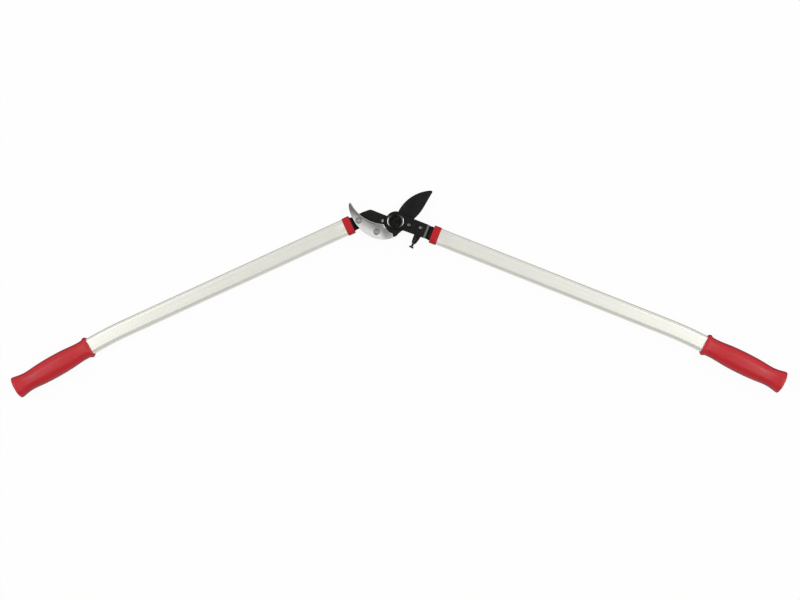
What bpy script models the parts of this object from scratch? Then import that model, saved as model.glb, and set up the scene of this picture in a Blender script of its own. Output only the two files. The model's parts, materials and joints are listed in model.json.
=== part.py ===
"""Anvil lopper with a curved blade, a matching curved anvil and an end-stop screw.

The tool lies flat and fully open. The pivot axis is vertical (+Z) through the
origin, and z = 0 is the surface the tool lies on, level with the flat tail of
the pivot bolt. The anvil lever runs out to the right (+X) and carries the anvil
on the left of the pivot. The blade lever runs out to the left (-X), passes
behind the anvil and carries the blade on the right of the pivot.

All design numbers are in millimetres; mesh coordinates are written in metres.
"""

import bpy
import bmesh
import math

MM = 0.001

# ---------------------------------------------------------------- driving dims
GAP = 0.35                 # running and fitting clearance between pieces

CLOSE_TRAVEL = 118.0       # degrees from fully open to blade on anvil

ZC = 16.0                  # mid-plane of the handles and of the blade
PLATE_Z0, PLATE_Z1 = 19.2, 24.4      # front plate of the anvil lever
DISC_Z0, DISC_Z1 = 18.1, 18.9        # friction disc between plate and blade
BLADE_Z0, BLADE_Z1 = 14.25, 17.75    # blade
ARM_Z0 = 7.4                         # rear face of the blade lever
ARM_ZF = 12.4                        # its front face where the anvil passes
ARM_ZH = 13.9                        # its front face under the blade hub
LOW_Z0, LOW_Z1 = 12.8, 19.0          # anvil seat behind the anvil flange
ANVIL_Z0, ANVIL_ZF, ANVIL_Z1 = 12.8, 19.35, 24.2
TANG_Z0, TANG_Z1 = 13.0, 18.85       # tang bar behind the front plate

HUB_R = 17.2               # eye of the front plate, hub of blade and blade arm
HUB_CLEAR_R = 17.8         # everything that the hub turns inside of
BUSH_R0, BUSH_R1 = 5.35, 6.8
BUSH_HOLE_R = 7.15
BOLT_R = 5.0               # M10 pivot bolt
BOLT_HEAD_R = 14.5
BOLT_HEAD_H = 4.7
HUB_SCREW_R = 12.0         # pitch radius of the three blade screws

# cutting edge: one arc for the blade, the same arc swung shut for the anvil
EDGE_C = (62.9, -13.4)
EDGE_R = 66.2
ANVIL_GAP = 0.35
RIM_W = 6.0                # full-depth working rim of the anvil

# levers: direction, offset of the handle axis from the pivot, collar position
RIGHT_ANG, RIGHT_OFF, RIGHT_S0 = -21.6, 2.9, 65.0
LEFT_ANG, LEFT_OFF, LEFT_S0 = 204.5, 26.6, 70.3
ARM_HALF = 11.8            # half width of both arms

COLLAR_W, COLLAR_D, COLLAR_L, COLLAR_RC = 31.5, 22.4, 12.5, 7.4
COLLAR_WALL = 2.0
TUBE_W, TUBE_D, TUBE_RC, TUBE_WALL = 29.0, 20.0, 6.6, 2.0
TUBE_H0, TUBE_H1 = 2.4, 641.0
BEND_H0, BEND_H1, BEND_DEG = 431.0, 485.0, 4.85
GRIP_H0, GRIP_H1 = 498.4, 650.6
TANG_W, TANG_D, TANG_RC = 24.3, 15.3, 4.0
TANG_IN = 56.0             # length of tang inside the tube
PIN_R, PIN_H = 2.5, 6.9

# countersunk screws of the anvil
ANVIL_SCREWS = ((-63.3, 1.3), (-32.5, -18.0))
# rivets of the tang
RIVETS = ((23.6, -6.5), (43.1, -11.2))

# end stop
STOP_Z = 13.6
STOP_END = (30.05, -37.2)          # centre of the boss end
STOP_DIR = (-0.470, -0.8827)       # outward along the screw
STOP_NECK = 5.9
STOP_HEAD_R, STOP_HEAD_T = 4.1, 3.0


# -------------------------------------------------------------------- utilities
def rad(d):
    return math.radians(d)


def polar(r, deg, c=(0.0, 0.0)):
    return (c[0] + r * math.cos(rad(deg)), c[1] + r * math.sin(rad(deg)))


def turn(p, deg):
    c, s = math.cos(rad(deg)), math.sin(rad(deg))
    return (p[0] * c - p[1] * s, p[0] * s + p[1] * c)


def arc(c, r, a0, a1, n):
    """n + 1 points on a circle from angle a0 to a1, in degrees."""
    return [polar(r, a0 + (a1 - a0) * i / n, c) for i in range(n + 1)]


def spline(pts, n):
    """Catmull-Rom curve through pts, n points for each stretch."""
    q = [(2 * pts[0][0] - pts[1][0], 2 * pts[0][1] - pts[1][1])] + list(pts)
    q.append((2 * pts[-1][0] - pts[-2][0], 2 * pts[-1][1] - pts[-2][1]))
    out = []
    for i in range(1, len(q) - 2):
        p0, p1, p2, p3 = q[i - 1], q[i], q[i + 1], q[i + 2]
        for k in range(n):
            t = k / n
            out.append(tuple(
                0.5 * (2 * p1[j] + (p2[j] - p0[j]) * t
                       + (2 * p0[j] - 5 * p1[j] + 4 * p2[j] - p3[j]) * t * t
                       + (3 * p1[j] - p0[j] - 3 * p2[j] + p3[j]) * t ** 3)
                for j in (0, 1)))
    out.append(tuple(pts[-1]))
    return out


def tidy(pts, tol=0.05):
    """Drop points that fall on their neighbour, also across the closing seam."""
    out = []
    for p in pts:
        if not out or math.dist(p, out[-1]) > tol:
            out.append(p)
    while len(out) > 1 and math.dist(out[0], out[-1]) <= tol:
        out.pop()
    return out


def area(pts):
    return 0.5 * sum(pts[i - 1][0] * pts[i][1] - pts[i][0] * pts[i - 1][1]
                     for i in range(len(pts)))


def inset(pts, d):
    """Move an anticlockwise outline inwards by d (a number, or one per point)."""
    n = len(pts)
    out = []
    for i in range(n):
        a, b, c = pts[i - 1], pts[i], pts[(i + 1) % n]
        e1 = (b[0] - a[0], b[1] - a[1])
        e2 = (c[0] - b[0], c[1] - b[1])
        l1, l2 = math.hypot(*e1), math.hypot(*e2)
        n1 = (-e1[1] / l1, e1[0] / l1)
        n2 = (-e2[1] / l2, e2[0] / l2)
        m = (n1[0] + n2[0], n1[1] + n2[1])
        k = max(0.35, 0.5 * (m[0] ** 2 + m[1] ** 2))
        di = d[i] if hasattr(d, "__len__") else d
        out.append((b[0] + m[0] * di / k, b[1] + m[1] * di / k))
    return out


def rounded(pts, r, n=4):
    """Round the corners of a polygon; r is one radius or one for each corner."""
    out = []
    m = len(pts)
    for i in range(m):
        a, b, c = pts[i - 1], pts[i], pts[(i + 1) % m]
        ri = r[i] if hasattr(r, "__len__") else r
        if ri <= 0:
            out.append(b)
            continue
        u = (a[0] - b[0], a[1] - b[1])
        v = (c[0] - b[0], c[1] - b[1])
        lu, lv = math.hypot(*u), math.hypot(*v)
        u = (u[0] / lu, u[1] / lu)
        v = (v[0] / lv, v[1] / lv)
        half = 0.5 * math.acos(max(-1.0, min(1.0, u[0] * v[0] + u[1] * v[1])))
        t = ri / math.tan(half)
        bis = (u[0] + v[0], u[1] + v[1])
        lb = math.hypot(*bis)
        cen = (b[0] + bis[0] / lb * ri / math.sin(half),
               b[1] + bis[1] / lb * ri / math.sin(half))
        p0 = (b[0] + u[0] * t, b[1] + u[1] * t)
        p1 = (b[0] + v[0] * t, b[1] + v[1] * t)
        a0 = math.atan2(p0[1] - cen[1], p0[0] - cen[0])
        a1 = math.atan2(p1[1] - cen[1], p1[0] - cen[0])
        da = (a1 - a0 + math.pi) % (2 * math.pi) - math.pi
        for k in range(n + 1):
            t_ = a0 + da * k / n
            out.append((cen[0] + ri * math.cos(t_), cen[1] + ri * math.sin(t_)))
    return out


def rounded_rect(w, d, r, n=5):
    """Anticlockwise rounded rectangle, 4 * (n + 1) points."""
    out = []
    for sx, sy, a in ((1, -1, -90), (1, 1, 0), (-1, 1, 90), (-1, -1, 180)):
        out += arc((sx * (w / 2 - r), sy * (d / 2 - r)), r, a, a + 90, n)
    return out


# ------------------------------------------------------------------ mesh making
def make_object(name, verts, faces, smooth=35.0):
    """Object from points in millimetres; origin on the pivot axis at z = 0."""
    mesh = bpy.data.meshes.new(name)
    mesh.from_pydata([(x * MM, y * MM, z * MM) for x, y, z in verts], [], faces)
    bm = bmesh.new()
    bm.from_mesh(mesh)
    bmesh.ops.recalc_face_normals(bm, faces=bm.faces)
    bm.to_mesh(mesh)
    bm.free()
    obj = bpy.data.objects.new(name, mesh)
    bpy.context.scene.collection.objects.link(obj)
    if smooth:
        mesh.shade_smooth()
        mesh.set_sharp_from_angle(angle=rad(smooth))
    return obj


def rings_object(name, rings, closed=False, smooth=35.0):
    """Skin through rings of equal length; closed joins the last to the first."""
    n = len(rings[0])
    verts = [v for ring in rings for v in ring]
    faces = []
    last = len(rings) if closed else len(rings) - 1
    for k in range(last):
        a, b = k * n, ((k + 1) % len(rings)) * n
        for i in range(n):
            j = (i + 1) % n
            faces.append((a + i, a + j, b + j, b + i))
    if not closed:
        faces.append(tuple(reversed(range(n))))
        faces.append(tuple(range((len(rings) - 1) * n, len(rings) * n)))
    return make_object(name, verts, faces, smooth)


def prism(name, outline, z0, z1, c0=0.0, c1=0.0, smooth=35.0):
    """Upright prism with chamfers c0 at the bottom edge and c1 at the top."""
    pts = tidy(outline)
    if area(pts) < 0:
        pts.reverse()
    rings = []
    if c0 > 0:
        rings.append([(x, y, z0) for x, y in inset(pts, c0)])
    rings.append([(x, y, z0 + c0) for x, y in pts])
    rings.append([(x, y, z1 - c1) for x, y in pts])
    if c1 > 0:
        rings.append([(x, y, z1) for x, y in inset(pts, c1)])
    return rings_object(name, rings, smooth=smooth)


def lathe(name, profile, at=(0.0, 0.0), n=32, smooth=35.0, phase=0.0):
    """Turned solid about a vertical axis; profile is (radius, z) from end to
    end, with end discs, or a closed loop where no radius is zero."""
    rings = [[(at[0] + r * math.cos(2 * math.pi * i / n + phase),
               at[1] + r * math.sin(2 * math.pi * i / n + phase), z)
              for i in range(n)] for r, z in profile]
    return rings_object(name, rings, smooth=smooth)


def ring_solid(name, r0, r1, z0, z1, ch=0.3, n=28):
    """Turned ring of rectangular section; ch chamfers its two outer edges."""
    prof = [(r0, z0), (r1 - ch, z0), (r1, z0 + ch), (r1, z1 - ch), (r1 - ch, z1),
            (r0, z1)]
    if ch <= 0:
        prof = [(r0, z0), (r1, z0), (r1, z1), (r0, z1)]
    rings = [[(r * math.cos(2 * math.pi * i / n),
               r * math.sin(2 * math.pi * i / n), z) for i in range(n)]
             for r, z in prof]
    return rings_object(name, rings, closed=True)


def along(name, stations, at, direction, z, n=24, squash=1.0, smooth=35.0):
    """Round solid along a horizontal direction; stations are (distance, radius).
    squash scales the section's height."""
    ux, uy = direction
    nx, ny = -uy, ux
    rings = []
    for d, r in stations:
        ring = []
        for i in range(n):
            t = 2 * math.pi * (i + 0.5) / n
            a, b = r * math.cos(t), r * math.sin(t) * squash
            ring.append((at[0] + ux * d + nx * a, at[1] + uy * d + ny * a, z + b))
        rings.append(ring)
    return rings_object(name, rings, smooth=smooth)


def boolean(obj, other, operation):
    """Apply one Boolean with the exact solver and drop the second body."""
    mod = obj.modifiers.new("op", "BOOLEAN")
    mod.operation = operation
    mod.solver = "EXACT"
    mod.object = other
    bpy.context.view_layer.update()
    dep = bpy.context.evaluated_depsgraph_get()
    mesh = bpy.data.meshes.new_from_object(obj.evaluated_get(dep))
    obj.modifiers.remove(mod)
    old = obj.data
    obj.data = mesh
    mesh.name = obj.name
    bpy.data.meshes.remove(old)
    bpy.data.objects.remove(other)
    mesh.shade_smooth()
    mesh.set_sharp_from_angle(angle=rad(35))
    return obj


def cut(obj, *others):
    for other in others:
        boolean(obj, other, "DIFFERENCE")
    return obj


def join(obj, *others):
    for other in others:
        boolean(obj, other, "UNION")
    return obj


def hole(r, z0, z1, at=(0.0, 0.0), n=28):
    return lathe("cutter", [(r, z0), (r, z1)], at, n)


def finish(obj, material):
    obj.data.materials.clear()
    obj.data.materials.append(material)
    return obj


def material(name, rgb, metallic, roughness):
    mat = bpy.data.materials.new(name)
    mat.use_nodes = True
    bsdf = mat.node_tree.nodes["Principled BSDF"]
    bsdf.inputs["Base Color"].default_value = (*rgb, 1.0)
    bsdf.inputs["Metallic"].default_value = metallic
    bsdf.inputs["Roughness"].default_value = roughness
    mat.diffuse_color = (*rgb, 1.0)
    return mat


# ---------------------------------------------------------------- lever frames
class Lever:
    """Straight axis, bent once near the grip, in the plane z = ZC.

    h is the distance from the front of the collar along the handle; the outer
    side is the one turned away from the other lever."""

    def __init__(self, ang, off, s0):
        self.u = (math.cos(rad(ang)), math.sin(rad(ang)))
        self.n = (-self.u[1], self.u[0]) if self.u[0] > 0 else (self.u[1], -self.u[0])
        self.off = off
        self.s0 = s0

    def flat(self, s, o):
        """Point at distance s from the pivot's foot and o from the handle axis."""
        q = self.off + o
        return (self.u[0] * s + self.n[0] * q, self.u[1] * s + self.n[1] * q)

    def path(self, h):
        """Centre and unit normal of the handle at h."""
        rb = (BEND_H1 - BEND_H0) / rad(BEND_DEG)
        b = min(max((h - BEND_H0) / rb, 0.0), rad(BEND_DEG))
        a = min(h, BEND_H0) + rb * math.sin(b)
        o = -rb * (1 - math.cos(b))
        if h > BEND_H1:
            a += (h - BEND_H1) * math.cos(b)
            o -= (h - BEND_H1) * math.sin(b)
        c = self.flat(self.s0 + a, o)
        n = (self.u[0] * math.sin(b) + self.n[0] * math.cos(b),
             self.u[1] * math.sin(b) + self.n[1] * math.cos(b))
        return c, n

    def ring(self, h, section):
        c, n = self.path(h)
        return [(c[0] + n[0] * a, c[1] + n[1] * a, ZC + b) for a, b in section]


# -------------------------------------------------------------- clear the scene
for o in list(bpy.data.objects):
    bpy.data.objects.remove(o)

RIGHT = Lever(RIGHT_ANG, RIGHT_OFF, RIGHT_S0)
LEFT = Lever(LEFT_ANG, LEFT_OFF, LEFT_S0)

black_coat = material("black_coated_steel", (0.020, 0.018, 0.016), 0.35, 0.42)
black_blade = material("black_blade_coating", (0.014, 0.014, 0.014), 0.20, 0.38)
silver = material("anvil_metal", (0.55, 0.55, 0.53), 1.0, 0.36)
tube_metal = material("handle_aluminium", (0.80, 0.80, 0.76), 0.9, 0.40)
red = material("red_plastic", (0.50, 0.035, 0.045), 0.0, 0.38)
zinc = material("zinc_steel", (0.45, 0.45, 0.44), 1.0, 0.35)
black_steel = material("black_oxide_steel", (0.018, 0.017, 0.016), 0.5, 0.35)
bronze = material("bearing_bronze", (0.45, 0.30, 0.14), 1.0, 0.35)
disc_plastic = material("friction_plastic", (0.75, 0.73, 0.68), 0.0, 0.5)


# ------------------------------------------------------------------------ blade
def blade_outline():
    """Anticlockwise outline and, for each point, the width of its bevel."""
    tip_a = 92.6
    heel = [(6.98, 20.45)]
    a_heel = math.degrees(math.atan2(heel[0][1] - EDGE_C[1],
                                     heel[0][0] - EDGE_C[0]))
    edge = arc(EDGE_C, EDGE_R, tip_a, a_heel, 18)
    tip = [(62.3, 49.4), (62.55, 50.3), (62.2, 51.4), (61.2, 52.2)]
    spine = spline([(17.53, -1.53), (21.6, -0.85), (27.3, 1.45), (35.5, 8.4),
                    (44.2, 18.7), (53.4, 34.1), tip[0]], 3)
    hub = arc((0, 0), HUB_R, 76.0, 355.0, 22)
    pts, kind = [], []
    for p in spine[:-1]:
        pts.append(p)
        kind.append("spine")
    for p in tip:
        pts.append(p)
        kind.append("tip")
    for p in edge:
        pts.append(p)
        kind.append("edge")
    for p in hub[:-1]:
        pts.append(p)
        kind.append("hub")
    return pts, kind, spine


def make_blade():
    pts, kind, spine = blade_outline()
    half = (BLADE_Z1 - BLADE_Z0) / 2
    mid = (BLADE_Z0 + BLADE_Z1) / 2
    ins, edge_h = [], []
    for p, k in zip(pts, kind):
        if k == "edge":
            to_spine = min(math.dist(p, q) for q in spine)
            to_heel = math.dist(p, (6.98, 20.45))
            w = min(5.5, 0.40 * to_spine, 0.6 + 0.9 * to_heel)
            ins.append(max(w, 0.5))
            edge_h.append(max(0.12, half - 0.30 * ins[-1] * 1.2 - 0.2)
                          if w < 2.0 else 0.12)
        elif k == "tip":
            ins.append(0.45)
            edge_h.append(0.9)
        else:
            ins.append(0.40)
            edge_h.append(half - 0.40)
    inner = inset(pts, ins)
    rings = [[(x, y, BLADE_Z0) for x, y in inner],
             [(p[0], p[1], mid - h) for p, h in zip(pts, edge_h)],
             [(p[0], p[1], mid + h) for p, h in zip(pts, edge_h)],
             [(x, y, BLADE_Z1) for x, y in inner]]
    obj = rings_object("blade", rings, smooth=25)
    cut(obj, hole(BUSH_HOLE_R, BLADE_Z0 - 2, BLADE_Z1 + 2))
    for a in (35.0, 155.0, 275.0):
        cut(obj, hole(2.35, BLADE_Z0 - 2, BLADE_Z1 + 2, polar(HUB_SCREW_R, a), 16))
    return finish(obj, black_blade)


# -------------------------------------------------------------------- blade arm
def make_blade_arm():
    f = LEFT.flat
    # upper edge: elbow above the anvil, then down to the hub
    up = rounded([f(64.0, ARM_HALF - 0.2), f(45.9, ARM_HALF + 0.1), (-43.9, 21.1),
                  (-15.0, 9.7)], [0, 6.0, 8.5, 0], 4)
    # lower edge: flat pad for the stop, then a waist down to the hub
    u = turn(STOP_DIR, -CLOSE_TRAVEL)
    reach = STOP_NECK + STOP_HEAD_T + GAP + 0.9
    face = (STOP_END[0] + STOP_DIR[0] * reach, STOP_END[1] + STOP_DIR[1] * reach)
    pad = turn(face, -CLOSE_TRAVEL)
    along_pad = (u[1], -u[0])           # towards the hub
    pad_in = (pad[0] + along_pad[0] * 4.6, pad[1] + along_pad[1] * 4.6)
    pad_out = (pad[0] - along_pad[0] * 4.7, pad[1] - along_pad[1] * 4.7)
    low = spline([(-15.6, -9.0), (-29.5, -5.6), (-39.5, -2.2), (-44.3, -0.3)], 4)
    end = LEFT_S0 - 0.4                 # shoulder just short of the collar
    plate = ([f(end, ARM_HALF - 0.2)] + up + low
             + [pad_in, pad_out, (-59.0, -9.2), f(61.5, -ARM_HALF + 0.4),
                f(end, -ARM_HALF + 0.4)])
    plate = tidy(plate)
    plate = [p for p in plate]
    # the neck ends inside the hub disc
    i_up = min(range(len(plate)), key=lambda i: math.dist(plate[i], (-15.0, 9.7)))
    plate = plate[:i_up + 1] + [(-8.0, 6.5), (-8.0, -7.0)] + plate[i_up + 1:]
    obj = prism("blade_arm", plate, ARM_Z0, ARM_ZF, 0.5, 0.6)
    hub = lathe("hub", [(HUB_R - 0.5, ARM_Z0 + 0.04), (HUB_R, ARM_Z0 + 0.54),
                        (HUB_R, ARM_ZH - 0.3), (HUB_R - 0.3, ARM_ZH)], n=40)
    sec = rounded_rect(TANG_W, TANG_D, TANG_RC, 4)
    small = rounded_rect(TANG_W - 1.6, TANG_D - 1.6, TANG_RC - 0.8, 4)
    block = rings_object("tang", [LEFT.ring(-2.6, sec), LEFT.ring(TANG_IN - 1, sec),
                                  LEFT.ring(TANG_IN, small)])
    join(obj, hub, block)
    cut(obj, hole(BUSH_HOLE_R, ARM_Z0 - 2, ARM_ZH + 2))
    for a in (35.0, 155.0, 275.0):
        c = polar(HUB_SCREW_R, a)
        cut(obj, lathe("cutter", [(4.35, ARM_Z0 - 0.6), (4.35, ARM_Z0 + 0.15),
                                  (2.35, ARM_Z0 + 2.15), (2.35, ARM_ZH + 2)], c, 16))
    # shallow three-cornered pocket in the neck, deepest at its left corner
    a, b, c = (-21.1, 6.6), (-25.9, -0.6), (-21.1, -1.6)
    z, deep = ARM_ZF, ARM_ZF - 1.25
    v = [(a[0], a[1], z), (b[0], b[1], deep), (c[0], c[1], z),
         (a[0], a[1], z + 2), (b[0], b[1], z + 2), (c[0], c[1], z + 2)]
    cut(obj, make_object("cutter", v, [(0, 1, 2), (3, 5, 4), (0, 3, 4, 1),
                                       (1, 4, 5, 2), (2, 5, 3, 0)]))
    c, _ = LEFT.path(PIN_H)
    cut(obj, hole(PIN_R + GAP, 0, 32, c, 16))
    return finish(obj, black_coat)


# ------------------------------------------------------------------- anvil side
ARC_C = turn(EDGE_C, CLOSE_TRAVEL)
ARC_R = EDGE_R + ANVIL_GAP


def back_curve():
    """Outer edge of the anvil, from the tip round to the pivot end."""
    return spline([(-79.9, 29.7), (-80.1, 26.2), (-79.2, 19.3), (-76.8, 11.9),
                   (-73.2, 4.3), (-68.0, -4.2), (-61.8, -11.6), (-54.2, -18.6),
                   (-45.6, -24.2), (-34.4, -28.9), (-21.0, -31.0), (-12.2, -30.1),
                   (-6.0, -28.3)], 2)


def concave(extra=0.0, y_tip=31.2, n=18, a_in=None):
    """Working arc of the anvil, pivot end first, tip last."""
    a0 = math.degrees(math.atan2(-5.3 - ARC_C[1], -19.2 - ARC_C[0])) if a_in is None else a_in
    a1 = -180 + math.degrees(math.asin((ARC_C[1] - y_tip) / (ARC_R + extra)))
    return arc(ARC_C, ARC_R + extra, a0, a1, n)


def inner_end(shift=0.0):
    """Pivot end of the anvil flange, from its lower right corner to the top."""
    low = [(-4.6, -27.2), (-4.3, -25.6), (-4.35, -22.6)]
    sweep = [polar(21.0 + shift, 253.5), polar(21.0 + shift, 246),
             polar(20.9 + shift, 238), polar(20.5 + shift, 230),
             polar(19.8 + shift, 222), polar(19.35 + shift, 214),
             polar(19.25 + shift, 206)]
    return low + sweep


def make_anvil():
    """Full-depth jaw, cut away behind so that only the rim next to the working
    edge and the tip keep their whole depth; the seat fills the cutaway."""
    outline = concave() + [(-77.2, 31.55), (-78.8, 31.1)] + back_curve() + inner_end()
    jaw = prism("anvil", outline, ANVIL_Z0, ANVIL_Z1, 0.5, 0.7)
    a_in = math.degrees(math.atan2(-8.0 - ARC_C[1], 2.0 - ARC_C[0]))
    inner = concave(RIM_W, y_tip=13.0, n=16, a_in=a_in)
    pocket = (list(inner) + [(-84.0, 13.4), (-90.0, -20.0), (-50.0, -45.0),
                             (2.0, -45.0)])
    cut(jaw, prism("pocket", pocket, ANVIL_Z0 - 3, ANVIL_ZF))
    for c in ANVIL_SCREWS:
        cut(jaw, lathe("cutter", [(2.85, ANVIL_Z0 - 2), (2.85, ANVIL_Z1 - 2.3),
                                  (4.65, ANVIL_Z1 - 0.5), (4.65, ANVIL_Z1 + 1)], c, 20))
    return finish(jaw, silver)


def inset_open(pts, d):
    """Shift an open run of points to its left by d."""
    out = []
    for i, p in enumerate(pts):
        a = pts[max(i - 1, 0)]
        b = pts[min(i + 1, len(pts) - 1)]
        e = (b[0] - a[0], b[1] - a[1])
        le = math.hypot(*e)
        out.append((p[0] - e[1] / le * d, p[1] + e[0] / le * d))
    return out


def lump_edge(grow=0.0):
    """Outer edge of the lump that joins the eye to the anvil seat."""
    base = [(-3.7, -26.3), (-1.6, -25.75), (1.6, -23.9), (4.6, -20.5),
            (8.6, -17.4), (12.6, -15.6)]
    return inset_open(spline(base, 2), -grow)


def make_anvil_arm():
    f = RIGHT.flat
    top = ARM_HALF + 0.6
    bot = -ARM_HALF
    a_top = 68.4 - math.degrees(math.acos((RIGHT_OFF + top) / HUB_R))
    plate = (arc((0, 0), HUB_R, a_top, 200, 26)
             + [polar(18.55, 205.5), polar(18.95, 210), polar(19.0, 214.5),
                polar(19.35, 222), polar(20.1, 231), polar(20.2, 240),
                polar(20.2, 250), (-3.75, -21.2)]
             + lump_edge() + [f(56.9, bot), f(56.9, top)])
    plate = tidy(plate)
    obj = prism("anvil_arm", plate, PLATE_Z0, PLATE_Z1, 0.4, 0.8)
    # sloping end of the plate
    x0, x1 = 53.2, 60.0
    wedge = [f(x0, -20), f(x1, -20), f(x1, 20), f(x0, 20)]
    lo = [(x, y, PLATE_Z1 + 0.0) for x, y in (wedge[0], wedge[3])]
    hi = [(x, y, PLATE_Z1 - 2.5) for x, y in (wedge[1], wedge[2])]
    up = [(x, y, PLATE_Z1 + 4) for x, y in wedge]
    v = [lo[0], hi[0], hi[1], lo[1]] + up
    cut(obj, make_object("wedge", v, [(0, 3, 2, 1), (4, 5, 6, 7), (0, 1, 5, 4),
                                      (1, 2, 6, 5), (2, 3, 7, 6), (3, 0, 4, 7)]))
    # anvil seat behind the anvil flange, up to the hub clearance
    seat_back = [q for q in inset_open(back_curve(), 0.9) if q[1] < 5.5]
    a_end = -180 + math.degrees(math.asin((ARC_C[1] - 9.8) / (ARC_R + RIM_W)))
    a_in = math.degrees(math.atan2(-10.35 - ARC_C[1], -15.0 - ARC_C[0]))
    seat = (arc(ARC_C, ARC_R + RIM_W + GAP, a_in, a_end, 14)
            + [(-72.6, 8.2)] + seat_back[:-1]
            + lump_edge(0.15) [0:-2]
            + arc((0, 0), HUB_CLEAR_R, 297, 216, 14))
    join(obj, prism("seat", seat, LOW_Z0, LOW_Z1, 0.4, 0.0))
    # core that ties plate and seat together
    core = (arc((0, 0), HUB_CLEAR_R - 0.06, 298, 222, 12)
            + [polar(19.9, 231), polar(20.05, 240), polar(20.05, 250), (-3.9, -21.0)]
            + lump_edge(0.3)[0:-2])
    join(obj, prism("core", core, LOW_Z0 + 1.4, PLATE_Z1 - 2.0))
    cut(obj, hole(BOLT_R + GAP, PLATE_Z0 - 3, PLATE_Z1 + 3))
    for c in ANVIL_SCREWS:
        cut(obj, hole(2.85, LOW_Z0 - 2, LOW_Z1 + 2, c, 20))
    for c in RIVETS:
        cut(obj, hole(2.65, PLATE_Z0 - 2, PLATE_Z1 + 2, c, 16))
    return finish(obj, black_coat)


def make_anvil_tang():
    f = RIGHT.flat
    top, bot = ARM_HALF, -ARM_HALF + 0.3
    # inner end follows the blade's neck, which rests against it when fully open
    neck = spline([(18.1, -2.1), (21.7, -1.35), (27.5, 0.95), (30.9, 3.65)], 3)
    a0 = math.degrees(math.atan2(neck[0][1], neck[0][0]))
    s_b = math.sqrt(HUB_CLEAR_R ** 2 - (RIGHT_OFF + bot) ** 2)
    low_in = f(s_b, bot)
    a1 = math.degrees(math.atan2(low_in[1], low_in[0]))
    bar = neck + [f(63.6, top), f(63.6, bot)] + arc((0, 0), HUB_CLEAR_R, a1, a0, 6)
    obj = prism("anvil_tang", bar, TANG_Z0, TANG_Z1, 0.4, 0.0)
    sec = rounded_rect(TANG_W, TANG_D, TANG_RC, 4)
    small = rounded_rect(TANG_W - 1.6, TANG_D - 1.6, TANG_RC - 0.8, 4)
    block = rings_object("tang", [RIGHT.ring(-4.6, small), RIGHT.ring(-3.8, sec),
                                  RIGHT.ring(TANG_IN - 1, sec),
                                  RIGHT.ring(TANG_IN, small)])
    # tapered boss for the stop screw
    back = (-STOP_DIR[0], -STOP_DIR[1])
    boss = along("boss", [(-0.6, 3.15), (0.2, 3.6), (3.6, 4.6), (9.5, 5.5), (13.3, 5.9),
                           (15.2, 5.9)],
                 STOP_END, back, STOP_Z, 20, 0.88)
    join(obj, block, boss)
    cut(obj, along("cutter", [(-3.0, 2.4), (13.6, 2.4)], STOP_END, back, STOP_Z, 20))
    for c in RIVETS:
        cut(obj, hole(2.65, TANG_Z0 - 3, TANG_Z1 + 3, c, 20))
    c, _ = RIGHT.path(PIN_H)
    cut(obj, hole(PIN_R + GAP, 0, 32, c, 16))
    return finish(obj, black_coat)


# -------------------------------------------------------------------- fasteners
def make_rivets():
    z = PLATE_Z1 + 0.3
    for i, c in enumerate(RIVETS):
        finish(lathe("arm_rivet_%d" % (i + 1),
                     [(2.9, TANG_Z0 - 1.6), (3.4, TANG_Z0 - 1.2),
                      (3.4, TANG_Z0 - 0.35), (2.3, TANG_Z0 - 0.35), (2.3, z), (4.1, z),
                      (4.0, z + 0.5), (3.2, z + 1.1), (1.6, z + 1.5)], c, 18),
               black_steel)


def hex_recess(c, z, af, deep, n=6, phase=0.3):
    r = af / math.sqrt(3)
    return lathe("cutter", [(r * 0.6, z - deep - 0.3), (r, z - deep + 0.2), (r, z + 1)],
                 c, n, phase=phase)


def make_anvil_screws():
    for i, c in enumerate(ANVIL_SCREWS):
        zt = ANVIL_Z1 - 0.1
        s = lathe("anvil_screw_%d" % (i + 1),
                  [(1.9, LOW_Z0 + 0.2), (2.45, LOW_Z0 + 0.8), (2.45, zt - 2.05),
                   (4.15, zt - 0.35), (4.15, zt - 0.1), (4.0, zt)], c, 18)
        finish(cut(s, hex_recess(c, zt, 3.2, 1.7)), zinc)


def make_blade_screws():
    for i, a in enumerate((35.0, 155.0, 275.0)):
        c = polar(HUB_SCREW_R, a)
        zb = ARM_Z0 + 0.1
        s = lathe("blade_screw_%d" % (i + 1),
                  [(3.8, zb), (3.95, zb + 0.15), (3.95, zb + 0.3), (2.0, zb + 2.2),
                   (2.0, BLADE_Z1 - 0.6), (1.7, BLADE_Z1 - 0.15)], c, 16)
        rec = lathe("cutter", [(1.45, zb - 1), (1.45, zb + 1.2), (0.8, zb + 1.5)], c, 6)
        finish(cut(s, rec), zinc)


def make_pivot_bolt():
    z = PLATE_Z1 + 0.3
    r, h = BOLT_HEAD_R, BOLT_HEAD_H
    prof = [(BOLT_R - 0.9, 0.0), (BOLT_R - 0.1, 0.8), (BOLT_R - 0.1, 6.5),
            (BOLT_R, 6.9), (BOLT_R, z), (r - 0.5, z), (r, z + 0.45),
            (r, z + h - 1.2)]
    # flat top that falls away to the rim on an arc
    for k in range(4, -1, -1):
        t = rad(24.0 * k / 4)
        prof.append((10.45 + 8.9 * math.sin(t), z + h - 0.05 - 8.9 * (1 - math.cos(t))))
    prof += [(2.4, z + h - 0.02)]
    return finish(lathe("pivot_bolt", prof, n=32), black_steel)


def make_nut():
    z0, z1 = 0.8, 5.3
    r = 16.0 / math.sqrt(3)
    n = 6
    body = lathe("pivot_nut", [(r, z0), (r, z1)], n=n, smooth=0)
    cone = lathe("cone", [(7.7, z0 - 0.01), (r + 0.02, z0 + 0.75), (r + 0.02, z1 - 0.75),
                          (7.7, z1 + 0.01)], n=36)
    boolean(body, cone, "INTERSECT")
    cut(body, hole(BOLT_R + 0.3, z0 - 1, z1 + 1, n=32))
    return finish(body, zinc)


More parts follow.
